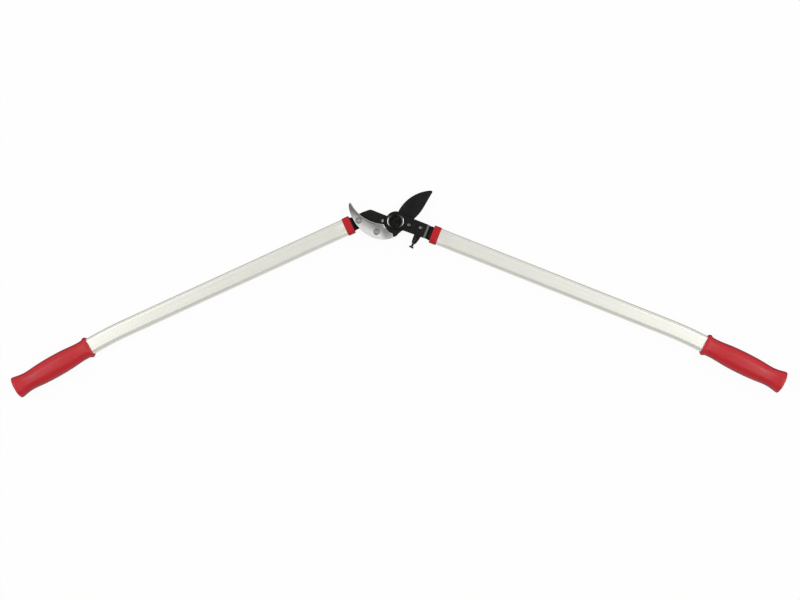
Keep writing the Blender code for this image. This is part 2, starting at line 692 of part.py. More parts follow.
def make_stop_screw():
    outw = STOP_DIR
    st = [(-9.3, 1.7), (-8.8, 2.1), (STOP_NECK, 2.1), (STOP_NECK + 0.01, 3.7),
          (STOP_NECK + 0.4, STOP_HEAD_R), (STOP_NECK + STOP_HEAD_T - 0.4, STOP_HEAD_R),
          (STOP_NECK + STOP_HEAD_T, STOP_HEAD_R - 0.4)]
    # made about its own axis point, then placed there, so that it slides on it
    obj = along("stop_screw", st, (0.0, 0.0), outw, 0.0, 20)
    obj.location = (STOP_END[0] * MM, STOP_END[1] * MM, STOP_Z * MM)
    return finish(obj, black_steel)


# ---------------------------------------------------------------------- handles
def handle_stations():
    out = [TUBE_H0, TUBE_H0 + 0.6]
    out += [BEND_H0 + (BEND_H1 - BEND_H0) * i / 4 for i in range(5)]
    out += [TUBE_H1 - 0.6, TUBE_H1]
    return out


def make_tube(name, lever):
    def sec(shrink, n=4):
        return rounded_rect(TUBE_W - 2 * shrink, TUBE_D - 2 * shrink, TUBE_RC - shrink, n)
    hs = handle_stations()
    rings = [lever.ring(hs[0], sec(0.45))]
    rings += [lever.ring(h, sec(0)) for h in hs[1:-1]]
    rings += [lever.ring(hs[-1], sec(0.45))]
    rings += [lever.ring(h, sec(TUBE_WALL)) for h in [hs[-1]] + hs[-3:1:-1] + [hs[0]]]
    obj = rings_object(name, rings, closed=True)
    c, _ = lever.path(PIN_H)
    cut(obj, hole(PIN_R + GAP, 0, 32, c, 16))
    return finish(obj, tube_metal)


def make_collar(name, lever):
    def sec(shrink, n=5):
        return rounded_rect(COLLAR_W - 2 * shrink, COLLAR_D - 2 * shrink,
                            COLLAR_RC - shrink, n)
    bore = rounded_rect(TUBE_W + 0.7, TUBE_D + 0.7, TUBE_RC + 0.35, 5)
    tang = rounded_rect(TANG_W + 0.7, TANG_D + 0.7, TANG_RC + 0.35, 5)
    L = COLLAR_L
    rings = [lever.ring(0.0, sec(0.9)), lever.ring(0.27, sec(0.27)),
             lever.ring(0.9, sec(0)), lever.ring(L - 0.9, sec(0)),
             lever.ring(L - 0.27, sec(0.27)), lever.ring(L, sec(0.9)),
             lever.ring(L, bore), lever.ring(COLLAR_WALL, bore),
             lever.ring(COLLAR_WALL, tang), lever.ring(0.0, tang)]
    return finish(rings_object(name, rings, closed=True), red)


def grip_profile():
    """(distance from the grip's front, width, depth) along the grip."""
    return [(0.0, 31.8, 24.6), (0.3, 32.9, 25.2), (1.1, 34.8, 26.2), (2.1, 36.7, 27.0),
            (3.1, 38.0, 27.5), (4.4, 38.6, 27.8), (5.6, 38.3, 27.8), (6.6, 37.3, 27.6),
            (7.8, 35.7, 27.3), (9.6, 34.1, 27.0), (12.6, 33.3, 26.7),
            (16.6, 33.1, 26.5), (23.6, 33.4, 26.6), (31.6, 34.5, 27.7),
            (46.6, 37.1, 30.2), (61.6, 38.2, 31.6), (72.0, 38.4, 32.0),
            (81.6, 38.2, 31.8), (101.8, 36.4, 29.9), (116.8, 33.7, 27.4),
            (123.9, 33.2, 26.9), (130.0, 33.9, 27.6), (136.0, 35.7, 29.2),
            (140.1, 37.3, 30.6), (143.2, 38.6, 31.6), (145.4, 39.2, 31.95),
            (146.9, 39.3, 32.0), (147.5, 38.8, 31.5), (147.94, 37.4, 30.0),
            (148.5, 34.8, 27.5), (149.24, 31.0, 23.7), (150.3, 25.2, 18.2),
            (151.13, 19.2, 13.0), (151.73, 12.8, 8.2), (152.2, 5.4, 3.4)]


def make_grip(name, lever):
    n = 5

    def sec(w, d, k=0.46):
        return rounded_rect(w, d, k * d, n)
    rings = [lever.ring(GRIP_H0 + g, sec(w, d)) for g, w, d in grip_profile()]
    bore = rounded_rect(TUBE_W + 0.7, TUBE_D + 0.7, TUBE_RC + 0.35, n)
    obj = rings_object(name, rings)
    inner = rings_object("bore", [lever.ring(GRIP_H0 - 3, bore),
                                  lever.ring(TUBE_H1 + 0.5, bore)])
    return finish(cut(obj, inner), red)


def make_pin(name, lever):
    c, _ = lever.path(PIN_H)
    z0, z1 = ZC - TUBE_D / 2 + 0.1, ZC + TUBE_D / 2 - 0.1
    r = PIN_R
    return finish(lathe(name, [(r - 0.4, z0), (r, z0 + 0.4), (r, z1 - 0.4),
                               (r - 0.4, z1)], c, 16), zinc)


make_blade()
make_blade_arm()
make_anvil()
make_anvil_arm()
make_anvil_tang()
make_rivets()
make_anvil_screws()
make_blade_screws()
make_pivot_bolt()
finish(ring_solid("pivot_bush", BUSH_R0, BUSH_R1, ARM_Z0 + 0.1, BLADE_Z1), bronze)
finish(ring_solid("friction_disc", BOLT_R + GAP, 16.4, DISC_Z0, DISC_Z1, 0.15),
       disc_plastic)
finish(ring_solid("pivot_washer", BOLT_R + 0.3, 10.5, 5.6, 7.1, 0.25), zinc)
make_nut()
make_stop_screw()
for side, lever in (("right", RIGHT), ("left", LEFT)):
    make_tube("handle_tube_" + side, lever)
    make_collar("collar_" + side, lever)
    make_grip("grip_" + side, lever)
    make_pin("tang_pin_" + side, lever)
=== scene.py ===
"""Looks of the anvil lopper: fine meshes, materials, light and camera.

Shape numbers are in millimetres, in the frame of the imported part, and are turned
into metres where a mesh is made. Every visible piece rides on the body of the
part that it stands for.
"""

import json
import math

import bpy
import bmesh
import numpy as np
from mathutils import Euler, Matrix, Vector


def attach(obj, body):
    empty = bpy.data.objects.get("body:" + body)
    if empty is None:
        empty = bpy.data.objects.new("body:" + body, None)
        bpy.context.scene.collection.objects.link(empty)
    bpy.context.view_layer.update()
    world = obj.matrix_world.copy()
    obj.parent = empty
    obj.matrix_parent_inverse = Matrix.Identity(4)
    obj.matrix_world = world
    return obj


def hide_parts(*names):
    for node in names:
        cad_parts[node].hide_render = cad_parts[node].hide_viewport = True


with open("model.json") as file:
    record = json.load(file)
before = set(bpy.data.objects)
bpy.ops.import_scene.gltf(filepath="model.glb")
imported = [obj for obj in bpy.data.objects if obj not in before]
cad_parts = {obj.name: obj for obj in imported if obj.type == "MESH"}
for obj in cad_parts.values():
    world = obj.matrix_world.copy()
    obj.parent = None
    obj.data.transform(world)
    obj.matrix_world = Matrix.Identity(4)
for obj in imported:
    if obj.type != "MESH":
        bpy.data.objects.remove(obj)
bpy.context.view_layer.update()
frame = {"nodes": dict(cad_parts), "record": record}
NODE_BODY = {n: b for b, names in frame["record"]["behaviour"]["bodies"].items()
             for n in names}

MM = 0.001

# ---------------------------------------------------------------- shape numbers
GAP = 0.35
CLOSE_TRAVEL = 118.0
ZC = 16.0
PLATE_Z0, PLATE_Z1 = 19.2, 24.4
BLADE_Z0, BLADE_Z1 = 14.25, 17.75
ARM_Z0, ARM_ZF, ARM_ZH = 7.4, 12.4, 13.9
LOW_Z0, LOW_Z1 = 12.8, 19.0
ANVIL_Z0, ANVIL_ZF, ANVIL_Z1 = 12.8, 19.35, 24.2
TANG_Z0 = 13.0
HUB_R = 17.2
BUSH_R0, BUSH_R1, BUSH_HOLE_R = 5.35, 6.8, 7.15
BOLT_R, BOLT_HEAD_R, BOLT_HEAD_H = 5.0, 14.5, 4.7
HUB_SCREW_R = 12.0
EDGE_C, EDGE_R = (62.9, -13.4), 66.2
RIM_W = 6.0
RIGHT_ANG, RIGHT_OFF, RIGHT_S0 = -21.6, 2.9, 65.0
LEFT_ANG, LEFT_OFF, LEFT_S0 = 204.5, 26.6, 70.3
COLLAR_W, COLLAR_D, COLLAR_L, COLLAR_RC, COLLAR_WALL = 31.5, 22.4, 12.5, 7.4, 2.0
TUBE_W, TUBE_D, TUBE_RC, TUBE_WALL = 29.0, 20.0, 6.6, 2.0
TUBE_H0, TUBE_H1 = 2.4, 641.0
BEND_H0, BEND_H1, BEND_DEG = 431.0, 485.0, 4.85
GRIP_H0 = 498.4
TANG_W, TANG_D, TANG_RC = 24.3, 15.3, 4.0
PIN_R, PIN_H = 2.5, 6.9
ANVIL_SCREWS = ((-63.3, 1.3), (-32.5, -18.0))
RIVETS = ((23.6, -6.5), (43.1, -11.2))
STOP_Z, STOP_END, STOP_DIR = 13.6, (30.05, -37.2), (-0.470, -0.8827)
STOP_NECK, STOP_HEAD_R, STOP_HEAD_T = 5.9, 4.1, 3.0


# -------------------------------------------------------------------- plane work
def rad(d):
    return math.radians(d)


def polar(r, deg, c=(0.0, 0.0)):
    return (c[0] + r * math.cos(rad(deg)), c[1] + r * math.sin(rad(deg)))


def turn(p, deg):
    c, s = math.cos(rad(deg)), math.sin(rad(deg))
    return (p[0] * c - p[1] * s, p[0] * s + p[1] * c)


def arc(c, r, a0, a1, n):
    return [polar(r, a0 + (a1 - a0) * i / n, c) for i in range(n + 1)]


def spline(pts, n):
    """Catmull-Rom curve through pts, n points for each stretch."""
    q = [(2 * pts[0][0] - pts[1][0], 2 * pts[0][1] - pts[1][1])] + list(pts)
    q.append((2 * pts[-1][0] - pts[-2][0], 2 * pts[-1][1] - pts[-2][1]))
    out = []
    for i in range(1, len(q) - 2):
        p0, p1, p2, p3 = q[i - 1], q[i], q[i + 1], q[i + 2]
        for k in range(n):
            t = k / n
            out.append(tuple(
                0.5 * (2 * p1[j] + (p2[j] - p0[j]) * t
                       + (2 * p0[j] - 5 * p1[j] + 4 * p2[j] - p3[j]) * t * t
                       + (3 * p1[j] - p0[j] - 3 * p2[j] + p3[j]) * t ** 3)
                for j in (0, 1)))
    out.append(tuple(pts[-1]))
    return out


def tidy(pts, tol=0.02):
    out = []
    for p in pts:
        if not out or math.dist(p, out[-1]) > tol:
            out.append(p)
    while len(out) > 1 and math.dist(out[0], out[-1]) <= tol:
        out.pop()
    return out


def area(pts):
    return 0.5 * sum(pts[i - 1][0] * pts[i][1] - pts[i][0] * pts[i - 1][1]
                     for i in range(len(pts)))


def inset(pts, d):
    """Move an anticlockwise outline inwards by d (a number, or one per point)."""
    n = len(pts)
    out = []
    for i in range(n):
        a, b, c = pts[i - 1], pts[i], pts[(i + 1) % n]
        e1 = (b[0] - a[0], b[1] - a[1])
        e2 = (c[0] - b[0], c[1] - b[1])
        l1, l2 = math.hypot(*e1), math.hypot(*e2)
        n1 = (-e1[1] / l1, e1[0] / l1)
        n2 = (-e2[1] / l2, e2[0] / l2)
        m = (n1[0] + n2[0], n1[1] + n2[1])
        k = max(0.35, 0.5 * (m[0] ** 2 + m[1] ** 2))
        di = d[i] if hasattr(d, "__len__") else d
        out.append((b[0] + m[0] * di / k, b[1] + m[1] * di / k))
    return out


def resample(pts, step):
    """Closed outline with its long stretches divided, so that shading is even."""
    out = []
    n = len(pts)
    for i in range(n):
        a, b = pts[i], pts[(i + 1) % n]
        k = max(1, int(math.ceil(math.dist(a, b) / step)))
        for j in range(k):
            out.append((a[0] + (b[0] - a[0]) * j / k, a[1] + (b[1] - a[1]) * j / k))
    return out


def rounded_rect(w, d, r, n=5, flats=None):
    """Anticlockwise rounded rectangle. flats gives extra points (share of the
    straight part, how far it stands out) on the two sides that face the width."""
    out = []
    for sx, sy, a in ((1, -1, -90), (1, 1, 0), (-1, 1, 90), (-1, -1, 180)):
        out += arc((sx * (w / 2 - r), sy * (d / 2 - r)), r, a, a + 90, n)
        if flats and a in (-90, 90):
            half = d / 2 - r
            side = 1 if a == -90 else -1
            for share, proud in flats:
                out.append((side * (w / 2 + proud), side * half * share))
    return out


def braced(pts, near=0.3, longer=1.6):
    """Outline with a point close to both ends of its long stretches, so that
    they are shaded flat."""
    out = []
    for i, a in enumerate(pts):
        b = pts[(i + 1) % len(pts)]
        d = math.dist(a, b)
        out.append(a)
        if d > longer:
            for t in (near / d, 1 - near / d):
                out.append((a[0] + (b[0] - a[0]) * t, a[1] + (b[1] - a[1]) * t))
    return out


# ------------------------------------------------------------------- mesh making
def link(mesh, name):
    obj = bpy.data.objects.new(name, mesh)
    bpy.context.scene.collection.objects.link(obj)
    return obj


def make_object(name, verts, faces, smooth=32.0):
    mesh = bpy.data.meshes.new(name)
    mesh.from_pydata([(x * MM, y * MM, z * MM) for x, y, z in verts], [], faces)
    bm = bmesh.new()
    bm.from_mesh(mesh)
    bmesh.ops.recalc_face_normals(bm, faces=bm.faces)
    bm.to_mesh(mesh)
    bm.free()
    obj = link(mesh, name)
    if smooth:
        mesh.shade_smooth()
        mesh.set_sharp_from_angle(angle=rad(smooth))
    return obj


def rings_object(name, rings, closed=False, smooth=32.0):
    n = len(rings[0])
    verts = [v for ring in rings for v in ring]
    faces = []
    last = len(rings) if closed else len(rings) - 1
    for k in range(last):
        a, b = k * n, ((k + 1) % len(rings)) * n
        for i in range(n):
            j = (i + 1) % n
            faces.append((a + i, a + j, b + j, b + i))
    if not closed:
        faces.append(tuple(reversed(range(n))))
        faces.append(tuple(range((len(rings) - 1) * n, len(rings) * n)))
    return make_object(name, verts, faces, smooth)


def prism(name, outline, z0, z1, r0=0.0, r1=0.0, n=4, smooth=32.0):
    """Upright prism; its bottom and top edges are rounded by r0 and r1."""
    pts = tidy(outline)
    if area(pts) < 0:
        pts.reverse()
    rings = []
    if r0 > 0:
        for k in range(n + 1):
            t = math.pi / 2 * k / n
            rings.append([(x, y, z0 + r0 * (1 - math.sin(t)))
                          for x, y in inset(pts, r0 * (1 - math.cos(t)))])
        rings.reverse()
    else:
        rings.append([(x, y, z0) for x, y in pts])
    if r1 > 0:
        for k in range(n + 1):
            t = math.pi / 2 * k / n
            rings.append([(x, y, z1 - r1 * (1 - math.sin(t)))
                          for x, y in inset(pts, r1 * (1 - math.cos(t)))])
    else:
        rings.append([(x, y, z1) for x, y in pts])
    return rings_object(name, rings, smooth=smooth)


def lathe(name, profile, at=(0.0, 0.0), n=64, smooth=32.0, closed=False, phase=0.0):
    rings = [[(at[0] + r * math.cos(2 * math.pi * i / n + phase),
               at[1] + r * math.sin(2 * math.pi * i / n + phase), z)
              for i in range(n)] for r, z in profile]
    return rings_object(name, rings, closed=closed, smooth=smooth)


def fillet_profile(corners, n=5):
    """Open (radius, z) profile; corners are (r, z, rounding)."""
    out = []
    for i, (r, z, f) in enumerate(corners):
        if f <= 0 or i in (0, len(corners) - 1):
            out.append((r, z))
            continue
        a, b, c = corners[i - 1][:2], (r, z), corners[i + 1][:2]
        u = (a[0] - b[0], a[1] - b[1])
        v = (c[0] - b[0], c[1] - b[1])
        lu, lv = math.hypot(*u), math.hypot(*v)
        u, v = (u[0] / lu, u[1] / lu), (v[0] / lv, v[1] / lv)
        half = 0.5 * math.acos(max(-1, min(1, u[0] * v[0] + u[1] * v[1])))
        t = f / math.tan(half)
        bis = (u[0] + v[0], u[1] + v[1])
        lb = math.hypot(*bis)
        cen = (b[0] + bis[0] / lb * f / math.sin(half),
               b[1] + bis[1] / lb * f / math.sin(half))
        p0, p1 = (b[0] + u[0] * t, b[1] + u[1] * t), (b[0] + v[0] * t, b[1] + v[1] * t)
        a0 = math.atan2(p0[1] - cen[1], p0[0] - cen[0])
        a1 = math.atan2(p1[1] - cen[1], p1[0] - cen[0])
        da = (a1 - a0 + math.pi) % (2 * math.pi) - math.pi
        for k in range(n + 1):
            t_ = a0 + da * k / n
            out.append((cen[0] + f * math.cos(t_), cen[1] + f * math.sin(t_)))
    return out


def along(name, stations, at, direction, z, n=48, squash=1.0, smooth=32.0):
    """Round solid along a horizontal direction; stations are (distance, radius)
    or (distance, function of the angle)."""
    ux, uy = direction
    nx, ny = -uy, ux
    rings = []
    for d, r in stations:
        ring = []
        for i in range(n):
            t = 2 * math.pi * (i + 0.5) / n
            ri = r(t) if callable(r) else r
            a, b = ri * math.cos(t), ri * math.sin(t) * squash
            ring.append((at[0] + ux * d + nx * a, at[1] + uy * d + ny * a, z + b))
        rings.append(ring)
    return rings_object(name, rings, smooth=smooth)


def boolean(obj, other, operation, smooth=32.0):
    mod = obj.modifiers.new("op", "BOOLEAN")
    mod.operation = operation
    mod.solver = "EXACT"
    mod.object = other
    bpy.context.view_layer.update()
    dep = bpy.context.evaluated_depsgraph_get()
    mesh = bpy.data.meshes.new_from_object(obj.evaluated_get(dep))
    obj.modifiers.remove(mod)
    old, gone = obj.data, other.data
    obj.data = mesh
    mesh.name = obj.name
    bpy.data.meshes.remove(old)
    bpy.data.objects.remove(other)
    bpy.data.meshes.remove(gone)
    mesh.shade_smooth()
    mesh.set_sharp_from_angle(angle=rad(smooth))
    return obj


def cut(obj, *others):
    for other in others:
        boolean(obj, other, "DIFFERENCE")
    return obj


def hole(r, z0, z1, at=(0.0, 0.0), n=64):
    return lathe("cutter", [(r, z0), (r, z1)], at, n)


class Lever:
    """Straight handle axis, bent once near the grip, in the plane z = ZC."""

    def __init__(self, ang, off, s0):
        self.u = (math.cos(rad(ang)), math.sin(rad(ang)))
        self.n = (-self.u[1], self.u[0]) if self.u[0] > 0 else (self.u[1], -self.u[0])
        self.off, self.s0 = off, s0
        self.rb = (BEND_H1 - BEND_H0) / rad(BEND_DEG)

    def flat(self, s, o):
        q = self.off + o
        return (self.u[0] * s + self.n[0] * q, self.u[1] * s + self.n[1] * q)

    def path(self, h):
        b = min(max((h - BEND_H0) / self.rb, 0.0), rad(BEND_DEG))
        a = min(h, BEND_H0) + self.rb * math.sin(b)
        o = -self.rb * (1 - math.cos(b))
        if h > BEND_H1:
            a += (h - BEND_H1) * math.cos(b)
            o -= (h - BEND_H1) * math.sin(b)
        c = self.flat(self.s0 + a, o)
        n = (self.u[0] * math.sin(b) + self.n[0] * math.cos(b),
             self.u[1] * math.sin(b) + self.n[1] * math.cos(b))
        return c, n

    def ring(self, h, section):
        c, n = self.path(h)
        return [(c[0] + n[0] * a, c[1] + n[1] * a, ZC + b) for a, b in section]

    def coords(self, xy):
        """Distance along the handle and offset from its axis, for points in mm."""
        a = xy @ np.array(self.u) - self.s0
        q = xy @ np.array(self.n) - self.off
        b = np.arctan2(a - BEND_H0, q + self.rb)
        turned = rad(BEND_DEG)
        bc = np.clip(b, 0.0, turned)
        rr = np.hypot(a - BEND_H0, q + self.rb)
        h = np.where(a < BEND_H0, a, BEND_H0 + self.rb * bc)
        o = np.where(a < BEND_H0, q, rr - self.rb)
        c1, n1 = self.path(BEND_H1)
        t1 = np.array([self.u[0] * math.cos(turned) - self.n[0] * math.sin(turned),
                       self.u[1] * math.cos(turned) - self.n[1] * math.sin(turned)])
        past = b > turned
        rel = xy - np.array(c1)
        h = np.where(past & (a > BEND_H0), BEND_H1 + rel @ t1, h)
        o = np.where(past & (a > BEND_H0), rel @ np.array(n1), o)
        return h, o


RIGHT = Lever(RIGHT_ANG, RIGHT_OFF, RIGHT_S0)
LEFT = Lever(LEFT_ANG, LEFT_OFF, LEFT_S0)


# ---------------------------------------------------------------- mesh attributes
def coords_of(mesh):
    co = np.empty(len(mesh.vertices) * 3, np.float32)
    mesh.vertices.foreach_get("co", co)
    return co.reshape(-1, 3).astype(float)


def add_flow(obj, lever):
    """Point attribute flow: along the handle, across it, up, in metres."""
    co = coords_of(obj.data)
    h, o = lever.coords(co[:, :2] / MM)
    flow = np.stack([h * MM, o * MM, co[:, 2] - ZC * MM], 1)
    att = obj.data.attributes.new("flow", "FLOAT_VECTOR", "POINT")
    att.data.foreach_set("vector", flow.astype(np.float32).ravel())
    return obj


def neighbours(mesh):
    e = np.empty(len(mesh.edges) * 2, np.int32)
    mesh.edges.foreach_get("vertices", e)
    return e.reshape(-1, 2)


def spread(values, edges, count, rounds, weight=0.5):
    """Average values over neighbouring vertices."""
    deg = np.bincount(edges.ravel(), minlength=count).astype(float)
    deg[deg == 0] = 1
    v = values.reshape(count, -1).astype(float)
    for _ in range(rounds):
        s = np.zeros_like(v)
        for k in range(v.shape[1]):
            s[:, k] = (np.bincount(edges[:, 0], v[edges[:, 1], k], count)
                       + np.bincount(edges[:, 1], v[edges[:, 0], k], count))
        v = v + weight * (s / deg[:, None] - v)
    return v.reshape(values.shape)


def forge(name, node, voxel, rounds=5, swell=None):
    """Dense, soft-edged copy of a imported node, as a forging has, with a point
    attribute edge: 0 on flats and in hollows, up to 1 on outer edges."""
    src = frame["nodes"][node]
    obj = link(src.data.copy(), name)
    mod = obj.modifiers.new("grid", "REMESH")
    mod.mode = "VOXEL"
    mod.voxel_size = voxel * MM
    mod.use_smooth_shade = True
    bpy.context.view_layer.update()
    dep = bpy.context.evaluated_depsgraph_get()
    mesh = bpy.data.meshes.new_from_object(obj.evaluated_get(dep))
    old = obj.data
    obj.modifiers.clear()
    obj.data = mesh
    mesh.name = name
    bpy.data.meshes.remove(old)
    co, edges = coords_of(mesh), neighbours(mesh)
    count = len(co)
    for _ in range(rounds):
        co = spread(co, edges, count, 1, 0.55)
        co = spread(co, edges, count, 1, -0.57)
    co = spread(co, edges, count, 2, 0.5)
    if swell:
        co = swell(co)
    mesh.vertices.foreach_set("co", co.astype(np.float32).ravel())
    mesh.update()
    nrm = np.empty(count * 3, np.float32)
    mesh.vertices.foreach_get("normal", nrm)
    nrm = nrm.reshape(-1, 3).astype(float)
    wide = spread(co, edges, count, 5, 0.6)
    lift = ((co - wide) * nrm).sum(1) / (voxel * MM)
    att = mesh.attributes.new("edge", "FLOAT", "POINT")
    glint_tint = np.clip(spread(lift, edges, count, 1, 0.5) / 0.45, 0, 1)
    att.data.foreach_set("value", glint_tint.astype(np.float32))
    # hollow: 1 on upward faces that lean, as in the pocket of the blade arm
    lean = np.clip((nrm[:, 2] - 0.55) / 0.2, 0, 1) * np.clip((0.992 - nrm[:, 2]) / 0.01, 0, 1)
    att = mesh.attributes.new("hollow", "FLOAT", "POINT")
    att.data.foreach_set("value", spread(lean, edges, count, 1, 0.4).astype(np.float32))
    mesh.shade_smooth()
    return obj


# ------------------------------------------------------------------- materials
class Shade:
    """Short names for building one material's nodes."""

    def __init__(self, name, metallic=0.0, specular=0.5, ior=1.5, coat=0.0,
                 coat_rough=0.1):
        self.mat = bpy.data.materials.new(name)
        self.mat.use_nodes = True
        self.tree = self.mat.node_tree
        self.bsdf = self.tree.nodes["Principled BSDF"]
        self.bsdf.inputs["Metallic"].default_value = metallic
        self.bsdf.inputs["Specular IOR Level"].default_value = specular
        self.bsdf.inputs["IOR"].default_value = ior
        if coat:
            self.bsdf.inputs["Coat Weight"].default_value = coat
            self.bsdf.inputs["Coat Roughness"].default_value = coat_rough

    def node(self, kind, **props):
        n = self.tree.nodes.new(kind)
        for k, v in props.items():
            setattr(n, k, v)
        return n

    def put(self, socket, value):
        if isinstance(value, bpy.types.NodeSocket):
            self.tree.links.new(value, socket)
        elif hasattr(value, "__len__"):
            v = tuple(value)
            socket.default_value = v + (1.0,) if len(socket.default_value) == 4 and len(v) == 3 else v
        else:
            socket.default_value = value

    def place(self):
        """Position on the piece, in metres, riding with it."""
        return self.node("ShaderNodeTexCoord").outputs["Object"]

    def flow(self):
        return self.node("ShaderNodeAttribute", attribute_name="flow").outputs["Vector"]

    def value(self, name):
        return self.node("ShaderNodeAttribute", attribute_name=name).outputs["Fac"]

    def vec(self, op, a, b=None, out="Vector"):
        n = self.node("ShaderNodeVectorMath", operation=op)
        self.put(n.inputs[0], a)
        if b is not None:
            self.put(n.inputs[1], b)
        return n.outputs[out]

    def height(self):
        sep = self.node("ShaderNodeSeparateXYZ")
        self.put(sep.inputs[0], self.place())
        return sep.outputs[2]

    def axis_distance(self, centre):
        """Distance from an upright axis through centre (mm), in metres."""
        flat = self.vec("MULTIPLY", self.place(), (1, 1, 0))
        return self.vec("DISTANCE", flat, (centre[0] * MM, centre[1] * MM, 0), "Value")

    def calc(self, op, a, b=None, c=None, clamp=False):
        n = self.node("ShaderNodeMath", operation=op, use_clamp=clamp)
        self.put(n.inputs[0], a)
        if b is not None:
            self.put(n.inputs[1], b)
        if c is not None:
            self.put(n.inputs[2], c)
        return n.outputs[0]

    def noise(self, vec, scale, detail=3.0, rough=0.5, distort=0.0):
        n = self.node("ShaderNodeTexNoise")
        self.put(n.inputs["Vector"], vec)
        n.inputs["Scale"].default_value = scale
        n.inputs["Detail"].default_value = detail
        n.inputs["Roughness"].default_value = rough
        n.inputs["Distortion"].default_value = distort
        return n.outputs["Fac"]

    def cells(self, vec, scale, feature="F1", random=1.0):
        n = self.node("ShaderNodeTexVoronoi", feature=feature)
        self.put(n.inputs["Vector"], vec)
        n.inputs["Scale"].default_value = scale
        n.inputs["Randomness"].default_value = random
        return n.outputs["Distance"]

    def span(self, value, a, b, c=0.0, d=1.0, smooth=True):
        n = self.node("ShaderNodeMapRange",
                      interpolation_type="SMOOTHSTEP" if smooth else "LINEAR")
        self.put(n.inputs["Value"], value)
        for k, v in zip(("From Min", "From Max", "To Min", "To Max"), (a, b, c, d)):
            n.inputs[k].default_value = v
        return n.outputs["Result"]

    def mix(self, fac, a, b, blend="MIX"):
        n = self.node("ShaderNodeMix", data_type="RGBA", blend_type=blend)
        self.put(n.inputs[0], fac)
        self.put(n.inputs[6], a)
        self.put(n.inputs[7], b)
        return n.outputs[2]

    def bump(self, height, distance, normal=None, strength=1.0):
        n = self.node("ShaderNodeBump")
        n.inputs["Strength"].default_value = strength
        n.inputs["Distance"].default_value = distance
        self.put(n.inputs["Height"], height)
        if normal is not None:
            self.put(n.inputs["Normal"], normal)
        return n.outputs["Normal"]

    def done(self, color, rough, normal=None):
        self.put(self.bsdf.inputs["Base Color"], color)
        self.put(self.bsdf.inputs["Roughness"], rough)
        if normal is not None:
            self.put(self.bsdf.inputs["Normal"], normal)
        return self.mat


def black_coat_material():
    """Thin black coat over forged steel: mottled, dusty, scuffed lighter on its edges, with a few
    painted highlights.
    """
    s = Shade("black_coat", specular=0.18)
    p = s.place()
    cloud = s.noise(p, 70, 4, 0.6, 0.6)
    grain = s.noise(p, 900, 3, 0.6)
    dust = s.span(s.noise(p, 130, 5, 0.68, 0.4), 0.60, 0.74)
    speck = s.span(s.cells(p, 700), 0.14, 0.05)
    base = s.mix(s.span(cloud, 0.35, 0.68), (0.0048, 0.0042, 0.0034),
                 (0.0084, 0.0074, 0.0060))
    base = s.mix(s.calc("MULTIPLY", dust, 0.45), base, (0.016, 0.0145, 0.0125))
    base = s.mix(s.calc("MULTIPLY", speck, s.span(cloud, 0.5, 0.7, 0.0, 0.25)),
                 base, (0.06, 0.057, 0.050))
    wear_and_glint = s.calc("MULTIPLY", s.span(s.value("edge"), 0.62, 1.0),
                  s.span(s.noise(p, 260, 4, 0.65), 0.52, 0.72))
    base = s.mix(s.calc("MULTIPLY", wear_and_glint, 0.45), base, (0.085, 0.080, 0.072))
    # painted highlight: a bright patch on the leaning faces in the neck of the blade arm stands for a
    # glint on its step
    glint_patch = s.calc("MULTIPLY", s.span(s.axis_distance((-23.0, 1.7)), 0.0034, 0.0019),
                  s.calc("MULTIPLY", s.span(s.height(), 0.0136, 0.0130),
                         s.span(s.height(), 0.0100, 0.0106)))
    painted_glint = s.calc("MULTIPLY", glint_patch, s.span(s.noise(p, 420, 3, 0.6), 0.30, 0.62, 0.55, 1.0))
    base = s.mix(s.calc("MULTIPLY", painted_glint, s.value("hollow")), base, (0.66, 0.64, 0.60))
    # painted highlight: the sloping end of the front plate is made lighter, standing for its
    # reflection
    reach = s.vec("DOT_PRODUCT", p, (RIGHT.u[0], RIGHT.u[1], 0), "Value")
    slope_highlight = s.calc("MULTIPLY", s.span(reach, 0.0530, 0.0537), s.span(reach, 0.0573, 0.0570))
    slope_highlight = s.calc("MULTIPLY", slope_highlight, s.span(s.height(), 0.0210, 0.0215))
    base = s.mix(s.calc("MULTIPLY", slope_highlight, s.span(grain, 0.3, 0.7, 0.75, 1.0)), base,
                 (0.160, 0.164, 0.155))
    # painted highlight: a lighter line along the top of the end stop's boss
    rel = s.vec("SUBTRACT", p, (STOP_END[0] * MM, STOP_END[1] * MM, 0))
    down = s.vec("DOT_PRODUCT", rel, (STOP_DIR[0], STOP_DIR[1], 0), "Value")
    side = s.vec("DOT_PRODUCT", rel, (-STOP_DIR[1], STOP_DIR[0], 0), "Value")
    boss_highlight = s.calc("MULTIPLY", s.span(s.calc("ABSOLUTE", side), 0.0017, 0.0006),
                    s.calc("MULTIPLY", s.span(down, -0.0105, -0.0085),
                           s.span(down, 0.0002, -0.0010)))
    boss_highlight = s.calc("MULTIPLY", boss_highlight, s.span(s.noise(p, 380, 3, 0.6), 0.38, 0.62))
    base = s.mix(boss_highlight, base, (0.060, 0.057, 0.050))
    rough = s.calc("ADD", s.span(cloud, 0.3, 0.7, 0.38, 0.50),
                   s.span(grain, 0.3, 0.7, -0.035, 0.045))
    rough = s.calc("SUBTRACT", rough, s.calc("MULTIPLY", wear_and_glint, 0.06))
    n1 = s.bump(s.noise(p, 190, 3, 0.55), 0.00012)
    n2 = s.bump(grain, 0.000020, n1)
    return s.done(base, rough, n2)


